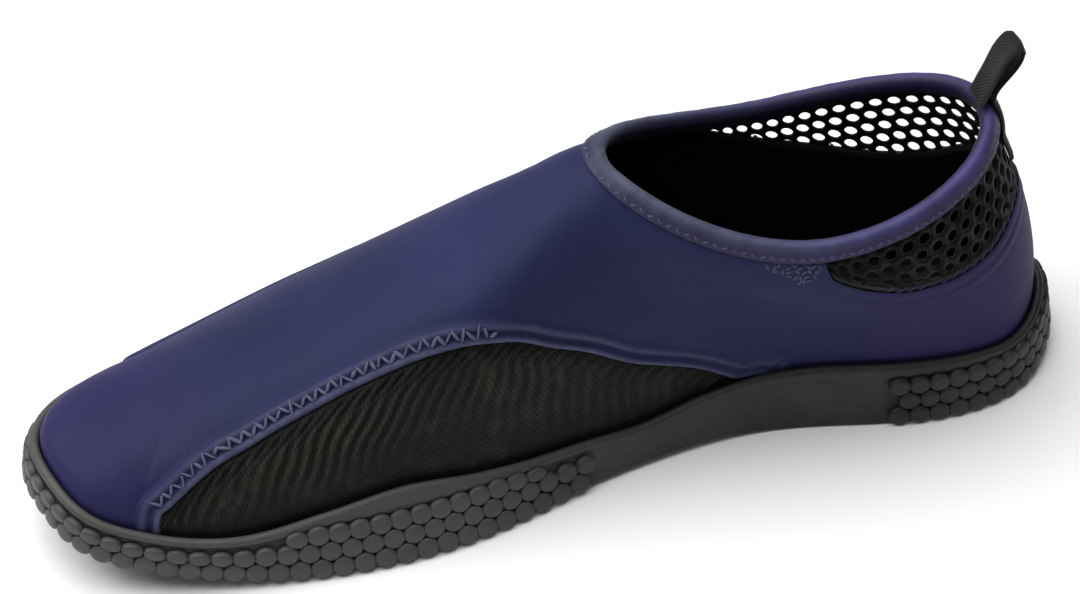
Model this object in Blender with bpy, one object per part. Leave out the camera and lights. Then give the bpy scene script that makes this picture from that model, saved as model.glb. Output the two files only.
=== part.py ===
"""Water shoe for the right foot, standing empty on its sole.

Toe towards -X, heel towards +X, inner (medial) side towards -Y, floor at z = 0, lengths in metres.
A station is a share of the length counted from the heel. A share counts along one side of the plan,
from the toe's tip (0) to the back of the heel (1). A ring position runs 0 to 1 down the medial side
and 1 to 2 back up the lateral side.
"""
import math

import bmesh
import bpy
import numpy as np

# Overall sizes
LENGTH = 0.284
BALL_WIDTH = 0.0945
HEEL_WIDTH = 0.067
THROAT_HEIGHT = 0.086
SIDE_HEIGHT = 0.067
BACK_HEIGHT = 0.0795

# Outsole
TOE_SPRING = 0.016
HEEL_SPRING = 0.005
ARCH_RISE = 0.0015
TREAD = 0.006
WALL_HEIGHT = 0.018
FLARE = 0.0075
RIM = 0.0022
NUB_HEIGHT = 0.0016
NUB_WIDTH = 0.0034
NUB_PITCH = 0.0056
NUB_ROW = 0.0047
NUB_LEAST_ROW = 0.0026
FOREFOOT_NUBS = 0.485
HEEL_NUBS = 0.195
TREAD_EDGE = 0.0030
WALL_EDGE = 0.0008

# Upper
NEOPRENE = 0.0028
MESH_STEP = 0.0008
INSOLE = 0.004
GAP = 0.0003
TOE_CENTRE = 0.86
COLLAR_FRONT = 0.129
COLLAR_BACK = 0.022
COLLAR_WIDTH = 0.061
COLLAR_DIP = 1.8
COLLAR_EGG = 0.10
FAN_SHARE = 0.14
THROAT_SHARE = 0.50

# Collar binding and pull loop
BINDING_REACH = 0.0038
BINDING_BULGE = 0.0008
LOOP_WIDTH = 0.0095
LOOP_HEIGHT = 0.0195
LOOP_LEAN = 26.0
WEBBING = 0.0013
LOOP_HOLLOW = 0.0016
LOOP_TAIL = 0.017

# Widest step between columns of the upper; counts of steps along curves, and of rows
COLUMN_STEP = 0.0078
PLAN_STEPS = 48
RUN_STEPS = 400
UPPER_ROWS = 5
MESH_ROWS = 5
HEEL_ROWS = 3

# Step for slopes, as a share of a whole side
SMALL = 1e-3


def table(names, *rows):
    """A table as named columns; the first column is the one it is read by."""
    return dict(zip(names.split(), np.array(rows, float).T))


# Plan of the outsole: half widths to each side, as shares of the width at that station
PLAN = table(
    "station medial lateral",
    (0.02, 0.250, 0.250),
    (0.06, 0.410, 0.408),
    (0.12, 0.483, 0.492),
    (0.20, 0.460, 0.505),
    (0.30, 0.355, 0.482),
    (0.40, 0.343, 0.450),
    (0.50, 0.390, 0.447),
    (0.60, 0.465, 0.476),
    (0.70, 0.498, 0.508),
    (0.76, 0.490, 0.498),
    (0.84, 0.458, 0.420),
    (0.91, 0.412, 0.310),
    (0.96, 0.345, 0.195),
    (0.99, 0.197, 0.066),
)
TOE_TIP = 0.047

# Wall of the outsole: height over the tread and inward slope, as shares of WALL_HEIGHT and FLARE
WALL = table(
    "station medial_height lateral_height medial_flare lateral_flare",
    (0.00, 0.82, 0.82, 0.28, 0.28),
    (0.19, 1.02, 0.98, 0.40, 0.40),
    (0.30, 0.97, 0.94, 0.43, 0.36),
    (0.36, 0.77, 0.84, 0.41, 0.32),
    (0.43, 0.62, 0.78, 0.29, 0.30),
    (0.50, 0.71, 0.82, 0.45, 0.36),
    (0.58, 0.88, 0.90, 0.77, 0.45),
    (0.66, 1.02, 0.92, 1.00, 0.50),
    (0.74, 0.91, 0.84, 0.73, 0.45),
    (0.82, 0.69, 0.69, 0.29, 0.29),
    (1.00, 0.64, 0.64, 0.29, 0.29),
)

# Ridge of the instep, from the centre of the toe (0) to the throat (1): height as a share of
# THROAT_HEIGHT and sideways place as a share of BALL_WIDTH
RIDGE = table(
    "along height aside",
    (0.00, 0.418, -0.080),
    (0.20, 0.500, -0.066),
    (0.40, 0.600, -0.055),
    (0.60, 0.722, -0.055),
    (0.80, 0.865, -0.035),
    (1.00, 1.000, 0.000),
)

# Spokes of the upper, from the rim of the sole up to the ridge or the collar: heading from straight
# ahead and drop at the upper end in degrees, then how far each end pulls, as shares of the chord
SPOKES = table(
    "share heading drop foot_pull head_pull",
    (0.00, 0.0, 0.0, 0.270, 0.440),
    (0.14, 80.0, 0.0, 0.250, 0.425),
    (0.30, 80.0, 0.0, 0.250, 0.360),
    (0.40, 58.0, 5.6, 0.298, 0.341),
    (0.46, 44.2, 12.5, 0.373, 0.375),
    (0.50, 45.3, 28.9, 0.380, 0.406),
    (0.54, 59.1, 33.6, 0.379, 0.339),
    (0.60, 58.6, 33.0, 0.362, 0.334),
    (0.67, 81.6, 54.3, 0.352, 0.320),
    (0.75, 92.0, 70.0, 0.345, 0.320),
    (0.90, 130.0, 72.0, 0.335, 0.330),
    (1.00, 180.0, 66.0, 0.330, 0.345),
)

# Upper edge of the side mesh, as a level on the spokes (0 at the rim of the sole, 1 at the top)
SIDE_MESH = table(
    "share medial_level lateral_level",
    (0.160, 0.180, 0.180),
    (0.182, 0.415, 0.200),
    (0.215, 0.540, 0.220),
    (0.260, 0.600, 0.250),
    (0.310, 0.605, 0.285),
    (0.370, 0.535, 0.325),
    (0.443, 0.445, 0.345),
    (0.505, 0.365, 0.325),
    (0.560, 0.265, 0.260),
    (0.620, 0.135, 0.135),
    (0.680, -0.120, -0.120),
)
SIDE_MESH_START = 0.16
SIDE_MESH_END = 0.68

# Lower edge of the heel mesh on each side, as a level on the spokes; it reaches further on the lateral
MEDIAL_HEEL_MESH = table(
    "share level",
    (0.797, 0.835),
    (0.806, 0.735),
    (0.822, 0.630),
    (0.850, 0.575),
    (0.897, 0.580),
    (0.950, 0.630),
    (1.000, 0.640),
)
LATERAL_HEEL_MESH = table(
    "share level",
    (0.755, 0.890),
    (0.770, 0.820),
    (0.790, 0.730),
    (0.815, 0.630),
    (0.845, 0.530),
    (0.876, 0.500),
    (0.905, 0.530),
    (0.950, 0.615),
    (1.000, 0.640),
)
MEDIAL_HEEL_START = 0.797
LATERAL_HEEL_START = 0.755


def read(tab, name, where):
    """Smooth value of a table's column, by cubic curves through its rows."""
    keys, values = list(tab.values())[0], tab[name]
    slopes = np.gradient(values, keys)
    where = np.clip(where, keys[0], keys[-1])
    i = np.clip(np.searchsorted(keys, where) - 1, 0, len(keys) - 2)
    step = keys[i + 1] - keys[i]
    t = (where - keys[i]) / step
    rise = 3 * t**2 - 2 * t**3
    start = (t**3 - 2 * t**2 + t) * step * slopes[i]
    end = (t**3 - t**2) * step * slopes[i + 1]
    return values[i] * (1 - rise) + values[i + 1] * rise + start + end


def ease(start, end, where):
    """Smooth step from 0 at start to 1 at end."""
    t = np.clip((where - start) / (end - start), 0, 1)
    return 3 * t**2 - 2 * t**3


def unit(vectors):
    return vectors / np.linalg.norm(vectors, axis=-1, keepdims=True)


def closed_spline(points, steps):
    """Smooth closed curve through the points, with the same number of steps on each leg."""
    count = len(points)
    legs = np.linalg.norm(np.roll(points, -1, axis=0) - points, axis=1)
    matrix = np.zeros((count, count))
    right = np.zeros_like(points)
    for i in range(count):
        before, after, following = legs[i - 1], legs[i], (i + 1) % count
        matrix[i, i - 1] = 1 / before
        matrix[i, i] = 2 / before + 2 / after
        matrix[i, following] = 1 / after
        right[i] = 3 * (points[i] - points[i - 1]) / before**2
        right[i] += 3 * (points[following] - points[i]) / after**2
    slopes = np.linalg.solve(matrix, right)
    t = np.linspace(0, 1, steps, endpoint=False)[:, None]
    curve = []
    for i in range(count):
        following = (i + 1) % count
        rise = 3 * t**2 - 2 * t**3
        leg = points[i] * (1 - rise) + points[following] * rise
        leg += (t**3 - 2 * t**2 + t) * legs[i] * slopes[i]
        leg += (t**3 - t**2) * legs[i] * slopes[following]
        curve.append(leg)
    return np.concatenate(curve)


def station_x(station):
    return (0.5 - station) * LENGTH


def width_at(station):
    return HEEL_WIDTH + (BALL_WIDTH - HEEL_WIDTH) * ease(0.15, 0.62, station)


def plan_curve():
    """Outer edge of the outsole in plan, from the toe's tip down the medial side and back."""
    x = station_x(PLAN["station"])
    width = width_at(PLAN["station"])
    medial = np.stack([x, -PLAN["medial"] * width], axis=1)
    lateral = np.stack([x, PLAN["lateral"] * width], axis=1)
    tip = np.array([[station_x(1), -TOE_TIP * BALL_WIDTH]])
    heel = np.array([[station_x(0), 0.0]])
    return closed_spline(np.concatenate([tip, medial[::-1], heel, lateral]), PLAN_STEPS)


PLAN_CURVE = plan_curve()


def plan_lookup():
    """Ring position of each point of the plan's curve, and the outward normals there."""
    steps = np.linalg.norm(np.diff(PLAN_CURVE, axis=0, append=PLAN_CURVE[:1]), axis=1)
    run = np.concatenate([[0], np.cumsum(steps)])
    heel = PLAN_STEPS * (len(PLAN["station"]) + 1)
    before = run[:heel + 1] / run[heel]
    after = 1 + (run[heel + 1:] - run[heel]) / (run[-1] - run[heel])
    tangents = np.roll(PLAN_CURVE, -1, axis=0) - np.roll(PLAN_CURVE, 1, axis=0)
    normals = unit(np.stack([tangents[:, 1], -tangents[:, 0]], axis=1))
    return np.concatenate([before, after]), normals, run[heel], run[-1] - run[heel]


PLAN_RING, PLAN_NORMALS, MEDIAL_RUN, LATERAL_RUN = plan_lookup()


def around(values, ring):
    """Values along the plan's curve, read at ring positions."""
    ring = np.mod(ring, 2)
    closed = np.concatenate([values, values[:1]])
    return np.stack([np.interp(ring, PLAN_RING, closed[:, k]) for k in range(values.shape[1])], axis=-1)


def share_of(ring):
    ring = np.mod(ring, 2)
    return np.minimum(ring, 2 - ring)


def is_medial(ring):
    return np.mod(ring, 2) <= 1


def plan_station(ring):
    return 0.5 - around(PLAN_CURVE, ring)[..., 0] / LENGTH


def sided(name, ring):
    """Value of the wall's table on the side where the ring position lies."""
    station = plan_station(ring)
    medial = read(WALL, "medial_" + name, station)
    lateral = read(WALL, "lateral_" + name, station)
    return np.where(is_medial(ring), medial, lateral)


def tread_height(station):
    """Underside of the sole: flat under heel and ball, raised at the waist, sprung at both ends."""
    toe = np.clip((station - 0.72) / 0.28, 0, 1)
    heel = np.clip((0.07 - station) / 0.07, 0, 1)
    waist = ease(0.28, 0.38, station) * (1 - ease(0.46, 0.56, station))
    return TOE_SPRING * toe**2 + HEEL_SPRING * heel**2 + ARCH_RISE * waist


def wall_height(ring):
    return WALL_HEIGHT * sided("height", ring)


def wall_flare(ring):
    return FLARE * sided("flare", ring)


def sole_point(ring, inset, height):
    """Point over the plan at a distance inside its edge, and at a height over the tread."""
    place = around(PLAN_CURVE, ring) - around(PLAN_NORMALS, ring) * np.asarray(inset)[..., None]
    level = tread_height(plan_station(ring)) + height
    return np.concatenate([place, level[..., None]], axis=-1)


def rim_inset(ring):
    """Distance from the plan's edge to the inner edge of the sole's rim."""
    return NUB_HEIGHT + wall_flare(ring) + RIM


def ridge_point(along):
    front = station_x(TOE_CENTRE)
    back = LENGTH / 2 - COLLAR_FRONT
    x = front + (back - front) * along
    y = BALL_WIDTH * read(RIDGE, "aside", along)
    z = THROAT_HEIGHT * read(RIDGE, "height", along)
    return np.stack([x, y, z], axis=-1)


def ridge_forward(along):
    """Direction of the ridge towards the toe."""
    return unit(ridge_point(np.maximum(along - SMALL, 0)) - ridge_point(np.minimum(along + SMALL, 1)))


def from_rest(way):
    """Share of a way from 0 to 1 that starts without speed, so that surfaces join smoothly."""
    return way**2 * (2 - way)


def along_ridge(share):
    way = np.clip((THROAT_SHARE - share) / (THROAT_SHARE - FAN_SHARE), 0, 1)
    return 1 - from_rest(way)


def collar_turn(share):
    return from_rest(np.clip((share - THROAT_SHARE) / (1 - THROAT_SHARE), 0, 1))


def collar_point(turn, side):
    """Edge of the upper round the foot opening: turn 0 at the throat, 1 at the back."""
    angle = math.pi * turn
    middle = LENGTH / 2 - (COLLAR_FRONT + COLLAR_BACK) / 2
    x = middle - (COLLAR_FRONT - COLLAR_BACK) / 2 * np.cos(angle)
    y = side * COLLAR_WIDTH / 2 * np.sin(angle) * (1 - COLLAR_EGG * np.cos(angle))
    front = np.clip(np.cos(angle), 0, 1)**COLLAR_DIP
    back = np.clip(-np.cos(angle), 0, 1)**COLLAR_DIP
    z = SIDE_HEIGHT + (THROAT_HEIGHT - SIDE_HEIGHT) * front + (BACK_HEIGHT - SIDE_HEIGHT) * back
    return np.stack([x, y, z], axis=-1)


def spoke_ends(ring):
    """Foot and head of each spoke, with the pull at both ends."""
    share = share_of(ring)
    side = np.where(is_medial(ring), -1.0, 1.0)
    along, turn = along_ridge(share), collar_turn(share)
    on_ridge = (share <= THROAT_SHARE)[..., None]
    head = np.where(on_ridge, ridge_point(along), collar_point(turn, side))
    foot = sole_point(ring, rim_inset(ring) + GAP, wall_height(ring))
    heading = np.radians(read(SPOKES, "heading", share))[..., None]
    drop = np.radians(read(SPOKES, "drop", share))[..., None]
    sideways = side[..., None] * np.array([0.0, 1.0, 0.0])
    over_ridge = np.cos(heading) * ridge_forward(along) + np.sin(heading) * sideways
    level = np.cos(heading) * np.array([-1.0, 0.0, 0.0]) + np.sin(heading) * sideways
    at_collar = np.cos(drop) * level - np.sin(drop) * np.array([0.0, 0.0, 1.0])
    blend = ease(0.0, 0.12, turn)[..., None]
    direction = unit(over_ridge * (1 - blend) + at_collar * blend)
    chord = np.linalg.norm(head - foot, axis=-1, keepdims=True)
    foot_pull = np.array([0.0, 0.0, 1.0]) * chord * read(SPOKES, "foot_pull", share)[..., None]
    head_pull = direction * chord * read(SPOKES, "head_pull", share)[..., None]
    return foot, head, foot_pull, head_pull


def upper_point(ring, level):
    """Outer face of the upper. Levels under 0 go straight down inside the sole, to its floor at -1."""
    foot, head, foot_pull, head_pull = spoke_ends(ring)
    t = np.clip(level, 0, 1)[..., None]
    curve = foot * (1 - t)**3 + (foot + foot_pull) * 3 * t * (1 - t)**2
    curve = curve + (head + head_pull) * 3 * t**2 * (1 - t) + head * t**3
    down = np.clip(-level, 0, 1) * (wall_height(ring) - TREAD - GAP)
    curve[..., 2] -= down
    return curve


def upper_normal(ring, level):
    """Outward normal of the upper's outer face."""
    small = SMALL / 10
    across = upper_point(ring + small, level) - upper_point(ring - small, level)
    up = upper_point(ring, np.minimum(level + small, 1)) - upper_point(ring, level - small)
    normal = np.cross(across, up)
    share = share_of(ring)
    over_ridge = np.cross(-ridge_forward(along_ridge(share)), np.array([0.0, 1.0, 0.0]))
    on_ridge = (level > 1 - small) & (share < THROAT_SHARE)
    return unit(np.where(on_ridge[..., None], over_ridge, normal))


def upper_skin(ring, level, depth):
    """Points of the upper at a depth under its outer face."""
    return upper_point(ring, level) - upper_normal(ring, level) * depth


def material(name, colour, roughness):
    """Plain Principled material."""
    made = bpy.data.materials.new(name)
    made.use_nodes = True
    shader = made.node_tree.nodes["Principled BSDF"]
    shader.inputs["Base Color"].default_value = (*colour, 1.0)
    shader.inputs["Roughness"].default_value = roughness
    shader.inputs["Metallic"].default_value = 0.0
    return made


def solid(name, vertices, faces, look):
    """Closed solid from points and faces, in triangles."""
    mesh = bpy.data.meshes.new(name)
    mesh.from_pydata([tuple(v) for v in vertices], [], faces)
    work = bmesh.new()
    work.from_mesh(mesh)
    bmesh.ops.delete(work, geom=[v for v in work.verts if not v.link_faces], context="VERTS")
    bmesh.ops.triangulate(work, faces=work.faces[:], quad_method="SHORT_EDGE")
    work.to_mesh(mesh)
    work.free()
    mesh.materials.append(look)
    mesh.shade_smooth()
    mesh.set_sharp_from_angle(angle=math.radians(40))
    made = bpy.data.objects.new(name, mesh)
    bpy.context.scene.collection.objects.link(made)
    return made


def shared_points(ring, levels):
    """Index of the grid point that each grid point shares its place with, over the closed ridge."""
    columns, rows = levels.shape
    index = np.arange(columns * rows).reshape(columns, rows)
    share = np.round(share_of(ring), 6)
    first = {}
    for i in range(columns):
        for j in range(rows):
            if levels[i, j] < 1 - 1e-9 or share[i] > THROAT_SHARE + 1e-6:
                continue
            place = max(share[i], FAN_SHARE)
            index[i, j] = first.setdefault(place, index[i, j])
    return index


def shell(name, ring, levels, kept, outer, inner, closed, look):
    """Part of the upper between two depths, over the kept cells of a grid of spokes and levels."""
    columns, rows = levels.shape
    grid = np.repeat(ring[:, None], rows, axis=1)
    skins = [upper_skin(grid, levels, depth) for depth in (outer, inner)]
    vertices = np.concatenate([skin.reshape(-1, 3) for skin in skins])
    index = shared_points(ring, levels)
    below = columns * rows
    outside = []
    for i in range(columns if closed else columns - 1):
        k = (i + 1) % columns
        for j in range(rows - 1):
            if not kept[i, j]:
                continue
            corners = [index[i, j], index[k, j], index[k, j + 1], index[i, j + 1]]
            corners = list(dict.fromkeys(int(c) for c in corners))
            if len(corners) > 2:
                outside.append(corners)
    edges = set()
    for face in outside:
        edges.update(zip(face, face[1:] + face[:1]))
    faces = list(outside)
    faces += [[c + below for c in reversed(face)] for face in outside]
    for start, end in edges:
        if (end, start) not in edges:
            faces.append([end, start, start + below, end + below])
    return solid(name, vertices, faces, look)


def upper_ring():
    """Ring positions of the upper's columns, with one at each end of every window and at the loop."""
    loop = 1 - ring_step(np.ones(1), np.ones(1), LOOP_WIDTH / 2)[0]
    marks = [0, FAN_SHARE, SIDE_MESH_START, THROAT_SHARE, SIDE_MESH_END, LATERAL_HEEL_START,
             MEDIAL_HEEL_START, loop, 1]
    fine = np.linspace(0, 1, RUN_STEPS + 1)
    edges = [upper_point(fine, np.full_like(fine, level)) for level in (0.0, 1.0)]
    steps = [np.linalg.norm(np.diff(edge, axis=0), axis=1) for edge in edges]
    run = np.concatenate([[0], np.cumsum(np.maximum(*steps))])
    shares = []
    for start, end in zip(marks, marks[1:]):
        near, far = np.interp([start, end], fine, run)
        count = max(1, round((far - near) / COLUMN_STEP))
        shares += list(np.interp(np.linspace(near, far, count, endpoint=False), run, fine))
    medial = np.array(shares)
    lateral = 2 - np.append(medial[1:], 1)[::-1]
    return np.concatenate([medial, lateral])


def ring_step(ring, level, distance):
    """Change of ring position that moves a point of the upper by a distance."""
    small = SMALL
    run = upper_point(ring + small, level) - upper_point(ring - small, level)
    return 2 * small * distance / np.linalg.norm(run, axis=-1)


def level_step(ring, edge, distance):
    """Change of level that moves a point by a distance square to an edge, given as levels."""
    small = SMALL
    here = edge(ring)
    run = upper_point(ring, here) - upper_point(ring, here - small)
    ahead = upper_point(ring + small, edge(ring + small))
    behind = upper_point(ring - small, edge(ring - small))
    slope = unit(ahead - behind)
    across = run - slope * np.sum(run * slope, axis=-1, keepdims=True)
    return small * distance / np.linalg.norm(across, axis=-1)


def side_mesh_edge(ring):
    share = share_of(ring)
    sides = [read(SIDE_MESH, side + "_level", share) for side in ("medial", "lateral")]
    return np.where(is_medial(ring), *sides)


def heel_mesh_edge(ring):
    share = share_of(ring)
    sides = [read(tab, "level", share) for tab in (MEDIAL_HEEL_MESH, LATERAL_HEEL_MESH)]
    return np.where(is_medial(ring), *sides)


def rows_under(top, count):
    """Levels from the sole's floor to its rim, then in equal steps up to a top level."""
    rim = np.minimum(0, top - 0.1)[:, None]
    steps = np.linspace(0, 1, count + 1)
    return np.concatenate([-np.ones_like(rim), rim + (top[:, None] - rim) * steps], axis=1)


def rows_over(bottom):
    """Levels in equal steps from a bottom level up to the collar."""
    return bottom[:, None] + (1 - bottom[:, None]) * np.linspace(0, 1, HEEL_ROWS + 1)


def make_upper(look):
    """Neoprene shell, open at the collar and underneath, with windows for the side and heel mesh."""
    ring = upper_ring()
    low = rows_under(side_mesh_edge(ring), 2)
    high = rows_over(heel_mesh_edge(ring))
    middle = low[:, -1:] + (high[:, :1] - low[:, -1:]) * np.linspace(0, 1, UPPER_ROWS + 1)[1:-1]
    levels = np.concatenate([low, middle, high], axis=1)
    following = np.roll(ring, -1)
    kept = np.ones((len(ring), levels.shape[1] - 1), bool)
    kept[in_side_window(ring) & in_side_window(following), :low.shape[1] - 1] = False
    kept[in_heel_window(ring) & in_heel_window(following), -HEEL_ROWS:] = False
    return shell("upper", ring, levels, kept, 0.0, NEOPRENE, True, look)


def in_side_window(ring):
    share = share_of(ring)
    return (share > SIDE_MESH_START - 1e-6) & (share < SIDE_MESH_END + 1e-6)


def in_heel_window(ring):
    return (ring > MEDIAL_HEEL_START - 1e-6) & (ring < 2 - LATERAL_HEEL_START + 1e-6)


def pull_in_ends(ring, edge):
    """Columns with the first and last moved inwards by the gap, and the level of the edge at each."""
    levels = edge(ring)
    shift = ring_step(ring[[0, -1]], levels[[0, -1]], GAP)
    moved = ring.copy()
    moved[0] += shift[0]
    moved[-1] -= shift[1]
    return moved, np.interp(moved, ring, levels)


def make_side_mesh(name, medial, look):
    """Mesh panel in a side window, from the floor of the sole to the neoprene's edge."""
    ring = upper_ring()
    ring = ring[in_side_window(ring) & (is_medial(ring) == medial)]
    ring, edge = pull_in_ends(ring, side_mesh_edge)
    top = edge - level_step(ring, side_mesh_edge, GAP)
    levels = rows_under(top, MESH_ROWS)
    kept = np.ones((len(ring), levels.shape[1] - 1), bool)
    return shell(name, ring, levels, kept, MESH_STEP, NEOPRENE, False, look)


def make_heel_mesh(look):
    """Mesh crescent round the heel, from the neoprene's edge up to the collar."""
    ring = upper_ring()
    ring = ring[in_heel_window(ring)]
    ring, edge = pull_in_ends(ring, heel_mesh_edge)
    bottom = edge + level_step(ring, heel_mesh_edge, GAP)
    levels = rows_over(bottom)
    kept = np.ones((len(ring), HEEL_ROWS), bool)
    return shell("heel_mesh", ring, levels, kept, MESH_STEP, NEOPRENE, False, look)


def collar_frame(ring):
    """Edge of the upper at the collar, with the directions out of the wall and past the edge."""
    small = SMALL / 10
    edge = upper_point(ring, np.ones(len(ring)))
    out = upper_normal(ring, np.ones(len(ring)))
    turn = collar_turn(share_of(ring))
    side = np.where(ring <= 1, -1.0, 1.0)
    along = collar_point(turn + small, side) - collar_point(turn - small, side)
    along = unit(along * np.where(ring <= 1, 1.0, -1.0)[:, None])
    past = unit(np.cross(out, along))
    return edge, unit(np.cross(along, past)), past


def collar_ring():
    ring = upper_ring()
    share = share_of(ring)
    medial_throat = np.isclose(ring, THROAT_SHARE)
    return ring[(share > THROAT_SHARE + 1e-6) | medial_throat]


def make_binding(look):
    """Rolled edge on the collar: a rounded strip all the way round the opening."""
    edge, out, past = collar_frame(collar_ring())
    half = NEOPRENE / 2 + BINDING_BULGE
    section = [(half, GAP), (half, 0.55 * BINDING_REACH), (0.6 * half, 0.9 * BINDING_REACH),
               (0.0, BINDING_REACH), (-0.6 * half, 0.9 * BINDING_REACH),
               (-half, 0.55 * BINDING_REACH), (-half, GAP)]
    rings = [edge + out * (outward - NEOPRENE / 2) + past * up for outward, up in section]
    vertices = np.concatenate(rings)
    faces = tube_faces(len(edge), len(section))
    return solid("collar_binding", vertices, faces, look)


def tube_faces(columns, rows):
    """Faces of a closed ring whose section is closed too."""
    faces = []
    for j in range(rows):
        upper = (j + 1) % rows
        for i in range(columns):
            k = (i + 1) % columns
            faces.append([j * columns + i, j * columns + k, upper * columns + k, upper * columns + i])
    return faces


def sole_column_count():
    """Half nub widths along both sides together; a multiple of four, so that halves match."""
    return 4 * round((MEDIAL_RUN + LATERAL_RUN) / 2 / NUB_PITCH)


def wall_slant(ring):
    """Length of the wall up its slope."""
    return np.hypot(wall_height(ring) - WALL_EDGE, wall_flare(ring))


def wall_point(ring, distance):
    """Point of the smooth wall at a distance up its slope."""
    rise = distance / wall_slant(ring)
    height = WALL_EDGE + (wall_height(ring) - WALL_EDGE) * rise
    return sole_point(ring, NUB_HEIGHT + wall_flare(ring) * rise, height)


def nub_row_edges(ring):
    """Distances up the wall between the rows of nubs; low walls press the upper rows together."""
    third = np.minimum(3 * NUB_ROW, 0.88 * wall_slant(ring))
    second = np.minimum(2 * NUB_ROW, 0.82 * third)
    first = np.minimum(NUB_ROW, 0.60 * second)
    return np.stack([np.zeros_like(ring), first, second, third])


def has_nub(station, tall):
    """Nubs cover the forefoot and the heel, in rows that are tall enough; the waist is smooth."""
    return tall > NUB_LEAST_ROW and (station > FOREFOOT_NUBS or station < HEEL_NUBS)


def nub_top(ring, low, high):
    """Six points of a nub's flat top, centred in its cell."""
    middle, small = (low + high) / 2, SMALL
    centre = wall_point(ring, middle)
    across = unit(wall_point(ring + small, middle) - wall_point(ring - small, middle))
    up = unit(wall_point(ring, high) - wall_point(ring, low))
    out = unit(np.cross(across, up))
    tall = min(NUB_WIDTH / 2, 0.36 * (high - low))
    points = []
    for degrees in (210, 270, 330, 30, 90, 150):
        angle = math.radians(degrees)
        offset = across * math.cos(angle) * NUB_WIDTH / 2 + up * math.sin(angle) * tall
        points.append(centre + offset + out * NUB_HEIGHT)
    return points


def make_outsole(look):
    """Cup sole: flat treads under heel and ball, a wall with rows of nubs, a rim and an inner cup."""
    columns = sole_column_count()
    ring = np.arange(columns) * 2 / columns
    edges = nub_row_edges(ring)
    vertices = [p for row in edges for p in wall_point(ring, row)]
    faces = []
    for row in range(3):
        for start in range(row % 2, columns + row % 2, 2):
            cell = [start % columns, (start + 1) % columns, (start + 2) % columns]
            border = [row * columns + c for c in cell] + [(row + 1) * columns + c for c in cell[::-1]]
            centre = np.mod((start + 1) * 2 / columns, 2)
            low, high = edges[row, cell[1]], edges[row + 1, cell[1]]
            if not has_nub(plan_station(centre), high - low):
                faces.append(border)
                continue
            top = [len(vertices) + k for k in range(6)]
            vertices += nub_top(centre, low, high)
            faces.append(top)
            faces += [[border[k], border[(k + 1) % 6], top[(k + 1) % 6], top[k]] for k in range(6)]
    half = ring[::2]
    rings = {
        "tread": sole_point(half, NUB_HEIGHT + TREAD_EDGE, np.zeros(len(half))),
        "rim_out": sole_point(half, rim_inset(half) - RIM, wall_height(half)),
        "rim_in": sole_point(half, rim_inset(half), wall_height(half)),
        "floor": sole_point(half, rim_inset(half), np.full(len(half), TREAD)),
    }
    first = {}
    for name, points in rings.items():
        first[name] = len(vertices)
        vertices += list(points)
    for c in range(columns // 2):
        k = (c + 1) % (columns // 2)
        wide = [2 * c, 2 * c + 1, (2 * c + 2) % columns]
        top = [3 * columns + w for w in wide]
        faces.append(top + [first["rim_out"] + k, first["rim_out"] + c])
        faces.append([first["tread"] + c, first["tread"] + k] + wide[::-1])
        for low, high in (("rim_out", "rim_in"), ("rim_in", "floor")):
            faces.append([first[low] + c, first[low] + k, first[high] + k, first[high] + c])
    faces += cap_faces(first["floor"], columns // 2, False)
    faces += cap_faces(first["tread"], columns // 2, True)
    return solid("outsole", vertices, faces, look)


def cap_faces(first, count, down):
    """Strips across a closed ring, between its two sides."""
    faces = []
    for i in range(count // 2):
        corners = [i, i + 1, (count - i - 1) % count, (count - i) % count]
        corners = [first + c for c in dict.fromkeys(corners)]
        faces.append(corners[::-1] if down else corners)
    return faces


def make_insole(look):
    """Foam footbed on the floor of the cup, inside the upper."""
    ring = upper_ring()
    inset = rim_inset(ring) + NEOPRENE + 2 * GAP
    low = sole_point(ring, inset, np.full(len(ring), TREAD + GAP))
    high = sole_point(ring, inset, np.full(len(ring), TREAD + GAP + INSOLE))
    count = len(ring)
    faces = [[i, (i + 1) % count, count + (i + 1) % count, count + i] for i in range(count)]
    faces += cap_faces(0, count, True) + cap_faces(count, count, False)
    return solid("insole", np.concatenate([low, high]), faces, look)


def heel_line(down):
    """Point on the upper's outer face at the back, at a distance under the collar's edge."""
    levels = np.linspace(0, 1, 101)
    points = upper_point(np.ones(101), levels)
    run = np.concatenate([[0], np.cumsum(np.linalg.norm(np.diff(points, axis=0), axis=1))])
    level = np.interp(run[-1] - down, run, levels)
    return upper_point(np.ones(1), np.array([level]))[0], upper_normal(np.ones(1), np.array([level]))[0]


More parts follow.
